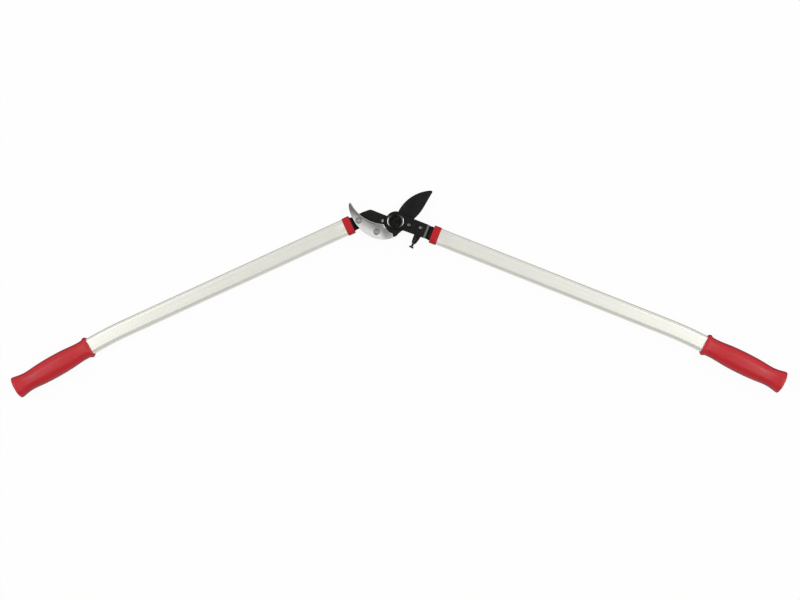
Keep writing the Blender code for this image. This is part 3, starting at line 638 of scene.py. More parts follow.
def blade_material():
    """Smooth black coat on a ground blade, thinner on the bevel, honed edge."""
    s = Shade("black_blade", specular=0.18)
    p = s.place()
    dist = s.axis_distance(EDGE_C)
    from_edge = s.calc("SUBTRACT", EDGE_R * MM, dist)          # metres inwards
    rings = s.node("ShaderNodeCombineXYZ")
    s.put(rings.inputs[0], s.calc("MULTIPLY", dist, 60.0))
    s.put(rings.inputs[1], s.calc("MULTIPLY", s.noise(p, 18, 1), 1.2))
    lines = s.noise(rings.outputs[0], 55, 4, 0.7)
    cloud = s.noise(p, 55, 4, 0.55, 0.3)
    fine = s.noise(p, 1400, 2, 0.5)
    base = s.mix(s.span(cloud, 0.3, 0.7), (0.0052, 0.0052, 0.0054),
                 (0.0080, 0.0080, 0.0081))
    bevel = s.span(from_edge, 0.0058, 0.0048)
    base = s.mix(s.calc("MULTIPLY", bevel, s.span(lines, 0.3, 0.7, 0.15, 0.60)),
                 base, (0.0130, 0.0128, 0.0125))
    honed = s.span(from_edge, 0.00060, 0.00040)
    chips = s.span(s.noise(p, 420, 4, 0.7), 0.36, 0.66)
    base = s.mix(s.calc("MULTIPLY", honed, s.calc("MULTIPLY", chips, 0.55)), base,
                 (0.11, 0.108, 0.104))
    scuff_v = s.vec("MULTIPLY", p, (140, 1500, 400))
    scuff = s.span(s.noise(scuff_v, 1.0, 3, 0.6, 0.4), 0.66, 0.80)
    base = s.mix(s.calc("MULTIPLY", scuff, 0.18), base, (0.030, 0.029, 0.028))
    rough = s.calc("ADD", s.span(lines, 0.3, 0.7, 0.33, 0.41),
                   s.span(cloud, 0.3, 0.7, -0.03, 0.04))
    rough = s.calc("SUBTRACT", rough, s.calc("MULTIPLY", honed, 0.06))
    n1 = s.bump(lines, 0.000010)
    n2 = s.bump(fine, 0.000006, n1)
    return s.done(base, rough, n2)


def anvil_material():
    """Satin jaw, brushed along its curve, with painted shade towards its tip, along the working
    edge and near the pivot, a painted highlight on the chamfer that faces the pivot, and a thin
    lighter line along the top of the working edge."""
    s = Shade("anvil_satin", metallic=0.5)
    p = s.place()
    dist = s.axis_distance(turn(EDGE_C, CLOSE_TRAVEL))
    out = s.calc("SUBTRACT", dist, (EDGE_R + 0.35) * MM)       # metres from the edge
    swirl = s.node("ShaderNodeCombineXYZ")
    s.put(swirl.inputs[0], s.calc("MULTIPLY", dist, 1100.0))
    s.put(swirl.inputs[1], s.vec("DOT_PRODUCT", p, (34, 34, 0), "Value"))
    s.put(swirl.inputs[2], s.vec("DOT_PRODUCT", p, (0, 0, 300), "Value"))
    brushed = s.noise(swirl.outputs[0], 1.0, 4, 0.6, 0.15)
    cloud = s.noise(p, 80, 3, 0.5, 0.4)
    cast = s.noise(p, 900, 3, 0.5)
    sep = s.node("ShaderNodeSeparateXYZ")
    s.put(sep.inputs[0], p)
    high = s.span(sep.outputs[1], 0.000, 0.026)                # towards the tip
    to_pivot = s.span(sep.outputs[0], -0.054, -0.026)          # towards the pivot
    # painted shade: darker towards the working edge
    base = s.mix(s.span(out, 0.0020, 0.0200), (0.42, 0.417, 0.403),
                 (0.885, 0.880, 0.860))
    # painted shade: darker near the pivot end of the working edge
    dull = s.calc("MULTIPLY", to_pivot, s.span(out, 0.0190, 0.0060))
    base = s.mix(s.calc("MULTIPLY", dull, 0.85), base, (0.225, 0.222, 0.214))
    # painted shade: darker towards the tip
    base = s.mix(s.calc("MULTIPLY", high, 0.88), base, (0.085, 0.084, 0.082))
    base = s.mix(s.span(cloud, 0.42, 0.72, 0.0, 0.12), base, (0.34, 0.335, 0.325))
    base = s.mix(s.span(brushed, 0.32, 0.70, 0.10, 0.0), base, (0.30, 0.295, 0.29))
    # painted shade: darker round the heel by the pivot
    heel = s.span(s.axis_distance((-13.0, -19.0)), 0.0165, 0.0050)
    base = s.mix(s.calc("MULTIPLY", heel, 0.76), base, (0.20, 0.197, 0.19))
    # a darker strip along the working edge, on its outer part
    edge_band = s.calc("MULTIPLY", s.span(out, 0.0042, 0.0030),
                   s.span(sep.outputs[0], -0.030, -0.037))
    edge_band = s.calc("MULTIPLY", edge_band, s.span(cloud, 0.30, 0.62, 0.52, 0.80))
    base = s.mix(edge_band, base, (0.135, 0.132, 0.126))
    # painted highlight: the chamfer towards the pivot is made bright
    reach = s.axis_distance((0.0, 0.0))
    ends = s.calc("MAXIMUM", s.calc("MULTIPLY", s.span(sep.outputs[1], -0.0066, -0.0086),
                                    s.span(sep.outputs[1], -0.0130, -0.0105)),
                  s.span(sep.outputs[1], -0.0185, -0.0210))
    ends = s.calc("ADD", s.calc("MULTIPLY", ends, 0.75), 0.15)
    chamfer_glint = s.calc("MULTIPLY", s.span(reach, 0.0228, 0.0212), ends)
    base = s.mix(s.calc("MULTIPLY", chamfer_glint, s.span(cloud, 0.35, 0.6, 1.0, 0.75)), base,
                 (0.95, 0.945, 0.925))
    # old grease and painted shade darken the step below it
    grease_and_shade = s.calc("MULTIPLY", s.span(reach, 0.0212, 0.0208),
                    s.span(s.height(), 0.0231, 0.0222))
    base = s.mix(s.calc("MULTIPLY", grease_and_shade, s.span(cloud, 0.3, 0.7, 0.97, 0.90)), base,
                 (0.012, 0.011, 0.010))
    line = s.calc("MULTIPLY", s.span(out, 0.00110, 0.00080), s.span(s.height(), 0.0225, 0.0231))
    base = s.mix(s.calc("MULTIPLY", line, 0.5), base, (0.80, 0.79, 0.77))
    # grease and painted shade darken the countersinks round the two screws
    for c in ANVIL_SCREWS:
        countersink_shade = s.span(s.axis_distance(c), 0.00545, 0.00490)
        base = s.mix(s.calc("MULTIPLY", countersink_shade, 0.85), base, (0.065, 0.062, 0.058))
    rough = s.calc("ADD", s.span(cloud, 0.3, 0.7, 0.36, 0.42),
                   s.span(brushed, 0.3, 0.7, -0.03, 0.03))
    n1 = s.bump(s.noise(p, 120, 2, 0.4), 0.00003)
    n2 = s.bump(brushed, 0.000003, n1)
    n3 = s.bump(cast, 0.0000015, n2)
    return s.done(base, rough, n3)


def tube_material():
    """Satin anodised tube with fine drawing lines along it."""
    s = Shade("anodised_tube", metallic=0.50)
    f = s.flow()
    drawn = s.noise(s.vec("MULTIPLY", f, (9, 1500, 1500)), 1.0, 4, 0.6)
    broad = s.noise(s.vec("MULTIPLY", f, (5, 260, 260)), 1.0, 2, 0.5)
    blast = s.noise(f, 2600, 2, 0.5)
    cloud = s.noise(f, 28, 3, 0.55)
    base = s.mix(s.span(broad, 0.3, 0.7), (0.825, 0.818, 0.750), (0.862, 0.854, 0.785))
    base = s.mix(s.span(cloud, 0.35, 0.7, 0.0, 0.18), base, (0.776, 0.766, 0.702))
    rub = s.span(s.noise(s.vec("MULTIPLY", f, (60, 900, 900)), 1.0, 3, 0.65), 0.66, 0.80)
    base = s.mix(s.calc("MULTIPLY", rub, 0.25), base, (0.93, 0.92, 0.90))
    rough = s.calc("ADD", s.span(drawn, 0.3, 0.7, 0.34, 0.41),
                   s.span(cloud, 0.3, 0.7, -0.02, 0.03))
    rough = s.calc("SUBTRACT", rough, s.calc("MULTIPLY", rub, 0.06))
    n1 = s.bump(drawn, 0.0000055)
    n2 = s.bump(blast, 0.0000030, n1)
    return s.done(base, rough, n2)


def red_material(name, grain_depth, shade=1.0, specular=0.40, side_shade_weight=0.6):
    """Moulded red plastic with a fine matt texture and a few dull rubs, with painted shade
    along its sides, where the parting line lies."""
    s = Shade(name, specular=specular)
    f = s.flow()
    cloud = s.noise(f, 45, 4, 0.6, 0.4)
    grain = s.cells(f, 1500, "SMOOTH_F1")
    fine = s.noise(f, 2400, 3, 0.6)
    rub = s.span(s.noise(s.vec("MULTIPLY", f, (30, 120, 120)), 1.0, 4, 0.62), 0.55, 0.75)
    base = s.mix(s.span(cloud, 0.3, 0.7), (0.495 * shade, 0.0100 * shade, 0.0170 * shade),
                 (0.550 * shade, 0.0130 * shade, 0.0210 * shade))
    base = s.mix(s.calc("MULTIPLY", rub, 0.10), base, (0.52, 0.045, 0.055))
    base = s.mix(s.span(grain, 0.10, 0.42, 0.16, 0.0), base, (0.40, 0.008, 0.014))
    # painted shade: the sides, where the parting line lies, are darkened
    off = s.calc("ABSOLUTE", s.calc("SUBTRACT", s.height(), ZC * MM))
    side_shade = s.calc("MULTIPLY", s.span(off, 0.0092, 0.0058),
                  s.span(cloud, 0.30, 0.70, side_shade_weight * 1.08, side_shade_weight * 0.88))
    base = s.mix(side_shade, base, (0.085, 0.0045, 0.0110))
    rough = s.calc("ADD", s.span(cloud, 0.3, 0.7, 0.40, 0.47),
                   s.calc("MULTIPLY", rub, -0.07))
    rough = s.calc("ADD", rough, s.span(fine, 0.3, 0.7, -0.03, 0.03))
    n1 = s.bump(grain, grain_depth)
    n2 = s.bump(fine, 0.000006, n1)
    return s.done(base, rough, n2)


def turned_material(name, centre, dark, light, metallic, rough, rim=None,
                    glint_tint=(0.3, 0.29, 0.28), specular=0.5, wear_and_glint=0.0, shade_radii=None,
                    painted_glint=None, glint_at=None):
    """Turned piece: fine rings about its axis, blotches, a painted highlight on its rim or top,
    which lies off the axis where its given position says so, with painted shade beside it."""
    s = Shade(name, metallic=metallic, specular=specular)
    p = s.place()
    dist = s.axis_distance(centre)
    swirl = s.node("ShaderNodeCombineXYZ")
    s.put(swirl.inputs[0], s.calc("MULTIPLY", dist, 2600.0))
    s.put(swirl.inputs[1], s.calc("MULTIPLY", s.noise(p, 70, 1), 1.5))
    rings = s.noise(swirl.outputs[0], 1.0, 3, 0.6)
    cloud = s.noise(p, 260, 4, 0.6, 0.3)
    fine = s.noise(p, 2000, 3, 0.6)
    base = s.mix(s.span(cloud, 0.3, 0.7), dark, light)
    base = s.mix(s.span(rings, 0.55, 0.8, 0.0, 0.25), base,
                 tuple(min(1.0, 1.6 * c) for c in light))
    spot = s.axis_distance(glint_at) if glint_at else dist
    # painted highlight: a lighter spot on the head, set off the axis where the lamps glint
    if rim and wear_and_glint:
        band = s.calc("MULTIPLY", s.span(spot, rim[0] * MM, rim[1] * MM),
                      s.span(s.noise(p, 330, 4, 0.7), 0.40, 0.68))
        base = s.mix(s.calc("MULTIPLY", band, wear_and_glint), base, glint_tint)
    # painted highlight: lighter arcs on the rim, left and right, where the side lamps glint
    if painted_glint:
        sep = s.node("ShaderNodeSeparateXYZ")
        s.put(sep.inputs[0], p)
        side = s.span(s.calc("ABSOLUTE", sep.outputs[1]), 0.0100, 0.0060)
        band = s.calc("MULTIPLY", side, s.span(dist, painted_glint[0] * MM, painted_glint[1] * MM))
        band = s.calc("MULTIPLY", band, s.span(s.noise(p, 300, 4, 0.65), 0.25, 0.55, 0.6, 1.0))
        base = s.mix(band, base, glint_tint)
        # painted shade: the rim darkened towards front and back
        rim_shade = s.calc("MULTIPLY", s.span(s.calc("ABSOLUTE", sep.outputs[1]), 0.0080, 0.0110),
                      s.span(dist, 0.0108, 0.0118))
        base = s.mix(s.calc("MULTIPLY", rim_shade, 0.75), base, (0.016, 0.0145, 0.013))
    # painted shade: darker beyond the painted highlight, round the rim of the head
    if shade_radii:
        base = s.mix(s.span(spot, shade_radii[0] * MM, shade_radii[1] * MM), base,
                     (0.011, 0.010, 0.009))
    r = s.calc("ADD", s.span(cloud, 0.3, 0.7, rough - 0.04, rough + 0.05),
               s.span(rings, 0.3, 0.7, -0.03, 0.03))
    n1 = s.bump(rings, 0.0000045)
    n2 = s.bump(fine, 0.0000050, n1)
    return s.done(base, r, n2)


def plain_grain_material(name, dark, light, metallic, rough, scale, specular=0.5,
                         depth=0.00001):
    s = Shade(name, metallic=metallic, specular=specular)
    p = s.place()
    cloud = s.noise(p, scale, 4, 0.6, 0.4)
    fine = s.noise(p, scale * 9, 3, 0.6)
    scratch = s.span(s.noise(s.vec("MULTIPLY", p, (300, 2600, 900)), 1.0, 3, 0.6, 0.5),
                     0.62, 0.78)
    base = s.mix(s.span(cloud, 0.3, 0.7), dark, light)
    base = s.mix(s.calc("MULTIPLY", scratch, 0.3), base,
                 tuple(min(1.0, 1.5 * c + 0.02) for c in light))
    r = s.calc("ADD", s.span(cloud, 0.3, 0.7, rough - 0.05, rough + 0.05),
               s.span(fine, 0.3, 0.7, -0.03, 0.03))
    return s.done(base, r, s.bump(fine, depth))


MAT_COAT = black_coat_material()
MAT_BLADE = blade_material()
MAT_ANVIL = anvil_material()
MAT_TUBE = tube_material()
MAT_GRIP = red_material("red_grip", 0.000030)
MAT_COLLAR = red_material("red_collar", 0.000012, 0.93, 0.22)


# --------------------------------------------------------------- keeping pieces
def piece(obj, node, material):
    """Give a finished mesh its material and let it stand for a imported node."""
    obj.data.materials.clear()
    obj.data.materials.append(material)
    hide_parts(node)
    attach(obj, NODE_BODY[node])
    return obj


# ------------------------------------------------------------------------- blade
def blade_shape():
    tip_a = 92.6
    heel = (6.98, 20.45)
    a_heel = math.degrees(math.atan2(heel[1] - EDGE_C[1], heel[0] - EDGE_C[0]))
    edge = arc(EDGE_C, EDGE_R, tip_a, a_heel, 90)
    tip = [(62.3, 49.4), (62.55, 50.3), (62.2, 51.4), (61.2, 52.2)]
    tip = spline(tip, 3)
    spine = spline([(17.53, -1.53), (21.6, -0.85), (27.3, 1.45), (35.5, 8.4),
                    (44.2, 18.7), (53.4, 34.1), (62.3, 49.4)], 10)
    hub = arc((0, 0), HUB_R, 76.0, 355.0, 110)
    pts, kind = [], []
    for run, what in ((spine[:-1], "spine"), (tip, "tip"), (edge, "edge"),
                      (hub[:-1], "hub")):
        for p in run:
            if pts and math.dist(p, pts[-1]) < 0.05:
                continue
            pts.append(p)
            kind.append(what)
    return pts, kind, spine


def make_blade():
    pts, kind, spine = blade_shape()
    half = (BLADE_Z1 - BLADE_Z0) / 2
    mid = (BLADE_Z0 + BLADE_Z1) / 2
    wide, thin = [], []
    for p, k in zip(pts, kind):
        if k == "edge":
            to_spine = min(math.dist(p, q) for q in spine)
            to_heel = math.dist(p, (6.98, 20.45))
            w = max(min(5.5, 0.40 * to_spine, 0.6 + 0.9 * to_heel), 0.5)
            wide.append(w)
            thin.append(0.12 if w >= 2.0 else max(0.12, half - 0.36 * w - 0.2))
        elif k == "tip":
            wide.append(0.45)
            thin.append(0.9)
        else:
            wide.append(0.42)
            thin.append(half - 0.42)
    # smooth the widths so that the bevel runs out softly
    for _ in range(6):
        n = len(wide)
        wide = [0.25 * wide[i - 1] + 0.5 * wide[i] + 0.25 * wide[(i + 1) % n]
                for i in range(n)]
        thin = [0.25 * thin[i - 1] + 0.5 * thin[i] + 0.25 * thin[(i + 1) % n]
                for i in range(n)]
    rings = []
    # share of the bevel's width and of its height, from the flat to the edge;
    # the two last steps round the shoulder and the edge
    steps = [(1.10, 0.0), (1.0, 0.012), (0.90, 0.055), (0.5, 0.47), (0.12, 0.88),
             (0.0, 1.0)]
    for sgn, order in ((-1, steps), (1, list(reversed(steps)))):
        for share, drop in order:
            ins = inset(pts, [w * share for w in wide])
            rings.append([(q[0], q[1], mid + sgn * (half - (half - t) * drop))
                          for q, t in zip(ins, thin)])
    obj = rings_object("blade_look", rings, smooth=24)
    cut(obj, hole(BUSH_HOLE_R, BLADE_Z0 - 2, BLADE_Z1 + 2))
    for a in (35.0, 155.0, 275.0):
        cut(obj, hole(2.35, BLADE_Z0 - 2, BLADE_Z1 + 2, polar(HUB_SCREW_R, a), 40))
    obj.data.set_sharp_from_angle(angle=rad(24))
    return piece(obj, "blade", MAT_BLADE)


# ------------------------------------------------------------------------- anvil
ARC_C = turn(EDGE_C, CLOSE_TRAVEL)
ARC_R = EDGE_R + 0.35


def back_curve(n):
    return spline([(-79.9, 29.7), (-80.1, 26.2), (-79.2, 19.3), (-76.8, 11.9),
                   (-73.2, 4.3), (-68.0, -4.2), (-61.8, -11.6), (-54.2, -18.6),
                   (-45.6, -24.2), (-34.4, -28.9), (-21.0, -31.0), (-12.2, -30.1),
                   (-6.0, -28.3)], n)


def concave(extra=0.0, y_tip=31.2, n=70, a_in=None):
    a0 = (math.degrees(math.atan2(-5.3 - ARC_C[1], -19.2 - ARC_C[0]))
          if a_in is None else a_in)
    a1 = -180 + math.degrees(math.asin((ARC_C[1] - y_tip) / (ARC_R + extra)))
    return arc(ARC_C, ARC_R + extra, a0, a1, n)


def make_anvil():
    low = spline([(-4.6, -27.2), (-4.3, -25.6), (-4.35, -22.6)], 4)
    sweep = spline([polar(21.0, 253.5), polar(21.0, 246), polar(20.9, 238),
                    polar(20.5, 230), polar(19.8, 222), polar(19.35, 214),
                    polar(19.25, 206)], 5)
    outline = concave() + [(-77.2, 31.55), (-78.8, 31.1)] + back_curve(8) + low + sweep
    outline = resample(tidy(outline, 0.1), 1.2)
    jaw = prism("anvil_look", outline, ANVIL_Z0, ANVIL_Z1, 0.5, 0.95, 5)
    a_in = math.degrees(math.atan2(-8.0 - ARC_C[1], 2.0 - ARC_C[0]))
    pocket = (concave(RIM_W, y_tip=13.0, n=60, a_in=a_in)
              + [(-84.0, 13.4), (-90.0, -20.0), (-50.0, -45.0), (2.0, -45.0)])
    cut(jaw, prism("pocket", pocket, ANVIL_Z0 - 3, ANVIL_ZF))
    # step and chamfer of the edge that faces the pivot
    cut(jaw, lathe("cutter", [(17.5, ANVIL_Z1 - 3.4), (20.30, ANVIL_Z1 - 3.4),
                              (20.45, ANVIL_Z1 - 3.25), (20.45, ANVIL_Z1 - 0.95),
                              (22.1, ANVIL_Z1 + 0.02), (22.6, ANVIL_Z1 + 1.5),
                              (17.5, ANVIL_Z1 + 1.5)], n=128, closed=True))
    for c in ANVIL_SCREWS:
        cut(jaw, lathe("cutter", [(2.85, ANVIL_Z0 - 2), (2.85, ANVIL_Z1 - 2.3),
                                  (4.75, ANVIL_Z1 - 0.5), (5.10, ANVIL_Z1 + 0.05),
                                  (5.7, ANVIL_Z1 + 1)], c, 56))
    return piece(jaw, "anvil", MAT_ANVIL)


# ---------------------------------------------------------------- forged pieces
def make_forged():
    piece(forge("anvil_arm_look", "anvil_arm", 0.42), "anvil_arm", MAT_COAT)
    piece(forge("blade_arm_look", "blade_arm", 0.45), "blade_arm", MAT_COAT)
    piece(forge("anvil_tang_look", "anvil_tang", 0.34, 4), "anvil_tang", MAT_COAT)


# ------------------------------------------------------------------- fasteners
def hex_cutter(c, z, af, deep, phase):
    r = af / math.sqrt(3)
    return lathe("cutter", [(0.1, z - deep - 0.55), (r * 0.86, z - deep),
                            (r, z - deep + 0.12), (r, z - 0.25), (r * 1.16, z + 0.05),
                            (r * 1.5, z + 1)], c, 6, phase=phase, smooth=0)


def thread(radius, depth, pitch, angle_sign=1.0):
    """Radius of a screw thread at a distance and an angle."""
    def at(d):
        def r(t):
            w = (d / pitch - angle_sign * t / (2 * math.pi)) % 1.0
            return radius - depth * (1 - abs(2 * w - 1)) ** 0.9
        return r
    return at


def make_anvil_screws():
    for i, (c, phase) in enumerate(zip(ANVIL_SCREWS, (0.35, 0.85))):
        mat = turned_material("screw_steel_%d" % (i + 1), c, (0.34, 0.335, 0.325),
                              (0.46, 0.455, 0.44), 0.6, 0.38)
        zt = ANVIL_Z1 - 0.1
        prof = fillet_profile([(1.9, LOW_Z0 + 0.2, 0), (2.45, LOW_Z0 + 0.8, 0.2),
                               (2.45, zt - 2.05, 0.2), (4.0, zt - 0.5, 0.12),
                               (4.0, zt, 0.28), (2.0, zt, 0)], 4)
        s = lathe("anvil_screw_%d_look" % (i + 1), prof, c, 56)
        cut(s, hex_cutter(c, zt, 3.2, 1.5, phase))
        piece(s, "anvil_screw_%d" % (i + 1), mat)


def make_rivets():
    z = PLATE_Z1 + 0.3
    for i, c in enumerate(RIVETS):
        # each head gets a painted highlight off its axis, with painted shade round it
        mat = turned_material("rivet_steel_%d" % (i + 1), c, (0.14, 0.135, 0.125),
                              (0.20, 0.195, 0.185), (1.0, 0.35)[i], 0.26,
                              rim=(1.7, 0.9), glint_tint=((0.42, 0.41, 0.39), (0.72, 0.70, 0.67))[i],
                              wear_and_glint=(0.4, 0.95)[i],
                              shade_radii=((2.3, 3.1), (1.8, 2.7))[i],
                              glint_at=((22.9, -5.9), (42.2, -10.8))[i])
        dome = [(4.1 * math.cos(rad(a)) ** 0.8, z + 0.25 + 1.25 * math.sin(rad(a)))
                for a in range(0, 86, 7)]
        prof = ([(2.9, TANG_Z0 - 1.6), (3.2, TANG_Z0 - 1.45), (3.4, TANG_Z0 - 1.2),
                 (3.4, TANG_Z0 - 0.35), (2.3, TANG_Z0 - 0.35), (2.3, z), (3.95, z),
                 (4.08, z + 0.1)] + dome + [(0.15, z + 1.5)])
        piece(lathe("arm_rivet_%d_look" % (i + 1), prof, c, 56),
              "arm_rivet_%d" % (i + 1), mat)


def make_blade_screws():
    for i, a in enumerate((35.0, 155.0, 275.0)):
        c = polar(HUB_SCREW_R, a)
        mat = turned_material("hub_screw_steel_%d" % (i + 1), c, (0.38, 0.375, 0.36),
                              (0.56, 0.55, 0.53), 1.0, 0.34)
        zb = ARM_Z0 + 0.1
        prof = fillet_profile([(2.2, zb, 0), (3.95, zb, 0.22), (3.95, zb + 0.35, 0.1),
                               (2.0, zb + 2.2, 0.15), (2.0, BLADE_Z1 - 0.6, 0.1),
                               (1.7, BLADE_Z1 - 0.15, 0)], 3)
        s = lathe("blade_screw_%d_look" % (i + 1), prof, c, 48)
        r = 1.45
        cut(s, lathe("cutter", [(r * 1.5, zb - 1), (r * 1.15, zb - 0.05), (r, zb + 0.2),
                                (r, zb + 1.1), (r * 0.85, zb + 1.2), (0.1, zb + 1.6)],
                     c, 6, phase=0.2 + i, smooth=0))
        piece(s, "blade_screw_%d" % (i + 1), mat)


def make_pivot():
    z = PLATE_Z1 + 0.3
    # the bolt head gets painted highlights left and right on its rim and painted shade front and back
    mat = turned_material("bolt_black_oxide", (0, 0), (0.062, 0.061, 0.059),
                          (0.080, 0.079, 0.076), 1.0, 0.16, painted_glint=(12.3, 12.9),
                          glint_tint=(0.185, 0.183, 0.176))
    head_r, top = BOLT_HEAD_R, z + BOLT_HEAD_H
    n = 96
    pitch = 1.25
    form = thread(BOLT_R - 0.12, 0.62, pitch)
    rings = []

    def ring(r, zz):
        return [((r(2 * math.pi * i / n) if callable(r) else r) * math.cos(2 * math.pi * i / n),
                 (r(2 * math.pi * i / n) if callable(r) else r) * math.sin(2 * math.pi * i / n),
                 zz) for i in range(n)]
    rings.append(ring(BOLT_R - 0.9, 0.0))
    rings.append(ring(BOLT_R - 0.88, 0.02))
    k = 0
    zz = 0.1
    while zz < 6.35:
        f = form(zz)
        cap = BOLT_R - 0.85 + zz * 0.95 if zz < 0.8 else BOLT_R - 0.12
        rings.append(ring((lambda f_, cap_: (lambda t: min(f_(t), cap_)))(f, cap), zz))
        zz += pitch / 10
        k += 1
    prof = [(BOLT_R - 0.35, 6.5), (BOLT_R, 6.9), (BOLT_R, z)]
    prof += [(head_r - 0.35, z), (head_r - 0.1, z + 0.12), (head_r, z + 0.4),
             (head_r, top - 1.22), (head_r - 0.04, top - 1.09),
             (head_r - 0.14, top - 0.97)]
    # the flat top falls away to the rim on an arc
    for j in range(14, -1, -1):
        t = rad(24.0 * j / 14)
        prof.append((10.45 + 8.9 * math.sin(t), top - 0.05 - 8.9 * (1 - math.cos(t))))
    for j in range(1, 7):
        prof.append((10.45 * (1 - j / 6) + 0.05 * j / 6, top - 0.05 + 0.03 * j / 6))
    rings += [ring(r, q) for r, q in prof]
    bolt = rings_object("pivot_bolt_look", rings, smooth=40)
    piece(bolt, "pivot_bolt", mat)

    zinc = turned_material("pivot_zinc", (0, 0), (0.36, 0.36, 0.35),
                           (0.52, 0.515, 0.49), 1.0, 0.36)
    z0, z1 = 0.8, 5.3
    r = 16.0 / math.sqrt(3)
    body = lathe("pivot_nut_look", [(r, z0), (r, z1)], n=6, smooth=0)
    cone = lathe("cone", [(7.6, z0 - 0.01), (7.9, z0 + 0.03), (r + 0.02, z0 + 0.85),
                          (r + 0.02, z1 - 0.85), (7.9, z1 - 0.03), (7.6, z1 + 0.01)],
                 n=96)
    boolean(body, cone, "INTERSECT")
    cut(body, lathe("cutter", [(BOLT_R + 0.95, z0 - 0.5), (BOLT_R + 0.3, z0 + 0.45),
                               (BOLT_R + 0.3, z1 - 0.45), (BOLT_R + 0.95, z1 + 0.5)],
                    n=96))
    piece(body, "pivot_nut", zinc)

    def ring_piece(node, r0, r1, a, b, f, material, n_=96):
        prof_ = [(r0 + f, a), (r1 - f, a), (r1 - 0.3 * f, a + 0.3 * f), (r1, a + f),
                 (r1, b - f), (r1 - 0.3 * f, b - 0.3 * f), (r1 - f, b), (r0 + f, b),
                 (r0, b - f), (r0, a + f)]
        o = lathe(node + "_look", prof_, n=n_, closed=True)
        return piece(o, node, material)
    ring_piece("pivot_washer", BOLT_R + 0.3, 10.5, 5.6, 7.1, 0.18, zinc)
    ring_piece("pivot_bush", BUSH_R0, BUSH_R1, ARM_Z0 + 0.1, BLADE_Z1, 0.2,
               turned_material("bush_bronze", (0, 0), (0.40, 0.25, 0.11),
                               (0.52, 0.35, 0.17), 1.0, 0.36))
    ring_piece("friction_disc", BOLT_R + GAP, 16.4, 18.1, 18.9, 0.12,
               turned_material("disc_acetal", (0, 0), (0.66, 0.64, 0.58),
                               (0.76, 0.74, 0.69), 0.0, 0.48))


def make_stop_screw():
    mat = plain_grain_material("stop_black_steel", (0.014, 0.0135, 0.0125),
                               (0.030, 0.0285, 0.026), 0.5, 0.34, 240)
    form = thread(2.1, 0.36, 0.7)
    st = [(-9.3, 1.5)]
    d = -9.1
    while d < STOP_NECK - 0.55:
        f = form(d)
        cap = 1.6 + (d + 9.3) * 0.8 if d < -8.7 else 2.1
        st.append((d, (lambda f_, cap_: (lambda t: min(f_(t), cap_)))(f, cap)))
        d += 0.7 / 8
    st += [(STOP_NECK - 0.4, 1.95), (STOP_NECK - 0.02, 2.05)]
    a, b = STOP_NECK, STOP_NECK + STOP_HEAD_T
    head = [(a, STOP_HEAD_R - 0.55), (a + 0.06, STOP_HEAD_R - 0.3),
            (a + 0.2, STOP_HEAD_R - 0.08), (a + 0.4, STOP_HEAD_R)]
    for j in range(0, 7):
        t = math.pi / 2 * j / 6
        head.append((b - 0.9 + 0.9 * math.sin(t), STOP_HEAD_R - 0.9 * (1 - math.cos(t))))
    st += head
    obj = along("stop_screw_look", st, STOP_END, STOP_DIR, STOP_Z, 48)
    # cross slot across the face of the head
    face = (STOP_END[0] + STOP_DIR[0] * b, STOP_END[1] + STOP_DIR[1] * b)
    nx, ny = -STOP_DIR[1], STOP_DIR[0]
    v = []
    for q, w in ((-6.0, 0), (6.0, 0)):
        for dd, hz in ((-1.0, -0.45), (1.0, -0.45), (1.0, 0.45), (-1.0, 0.45)):
            v.append((face[0] + nx * q + STOP_DIR[0] * dd,
                      face[1] + ny * q + STOP_DIR[1] * dd, STOP_Z + hz))
    slot_cut = make_object("cutter", v, [(0, 1, 2, 3), (7, 6, 5, 4), (0, 4, 5, 1),
                                         (1, 5, 6, 2), (2, 6, 7, 3), (3, 7, 4, 0)], 0)
    cut(obj, slot_cut)
    piece(obj, "stop_screw", mat)


def make_pins():
    for side, lever in (("right", RIGHT), ("left", LEFT)):
        c, _ = lever.path(PIN_H)
        mat = turned_material("pin_steel_" + side, c, (0.40, 0.395, 0.38),
                              (0.55, 0.545, 0.52), 1.0, 0.34)
        z0, z1 = ZC - TUBE_D / 2 + 0.1, ZC + TUBE_D / 2 - 0.1
        prof = fillet_profile([(0.4, z0, 0), (PIN_R, z0, 0.4), (PIN_R, z1, 0.4),
                               (0.4, z1, 0)], 4)
        piece(lathe("tang_pin_%s_look" % side, prof, c, 40), "tang_pin_" + side, mat)


# ---------------------------------------------------------------------- handles
def make_tube(side, lever):
    def sec(shrink, n=10):
        return braced(rounded_rect(TUBE_W - 2 * shrink, TUBE_D - 2 * shrink,
                                   TUBE_RC - shrink, n))
    hs = [TUBE_H0, TUBE_H0 + 0.15, TUBE_H0 + 0.5]
    hs += [BEND_H0 * k / 12 for k in range(1, 12)]
    hs += [BEND_H0 + (BEND_H1 - BEND_H0) * i / 14 for i in range(15)]
    hs += [530, 570, 610, TUBE_H1 - 0.5, TUBE_H1 - 0.15, TUBE_H1]
    shrink = [0.5, 0.15, 0.0] + [0.0] * (len(hs) - 6) + [0.0, 0.15, 0.5]
    rings = [lever.ring(h, sec(s)) for h, s in zip(hs, shrink)]
    rings += [lever.ring(h, sec(TUBE_WALL)) for h in reversed(hs)]
    obj = rings_object("handle_tube_%s_look" % side, rings, closed=True)
    c, _ = lever.path(PIN_H)
    cut(obj, hole(PIN_R + GAP, 0, 32, c, 40))
    add_flow(obj, lever)
    piece(obj, "handle_tube_" + side, MAT_TUBE)


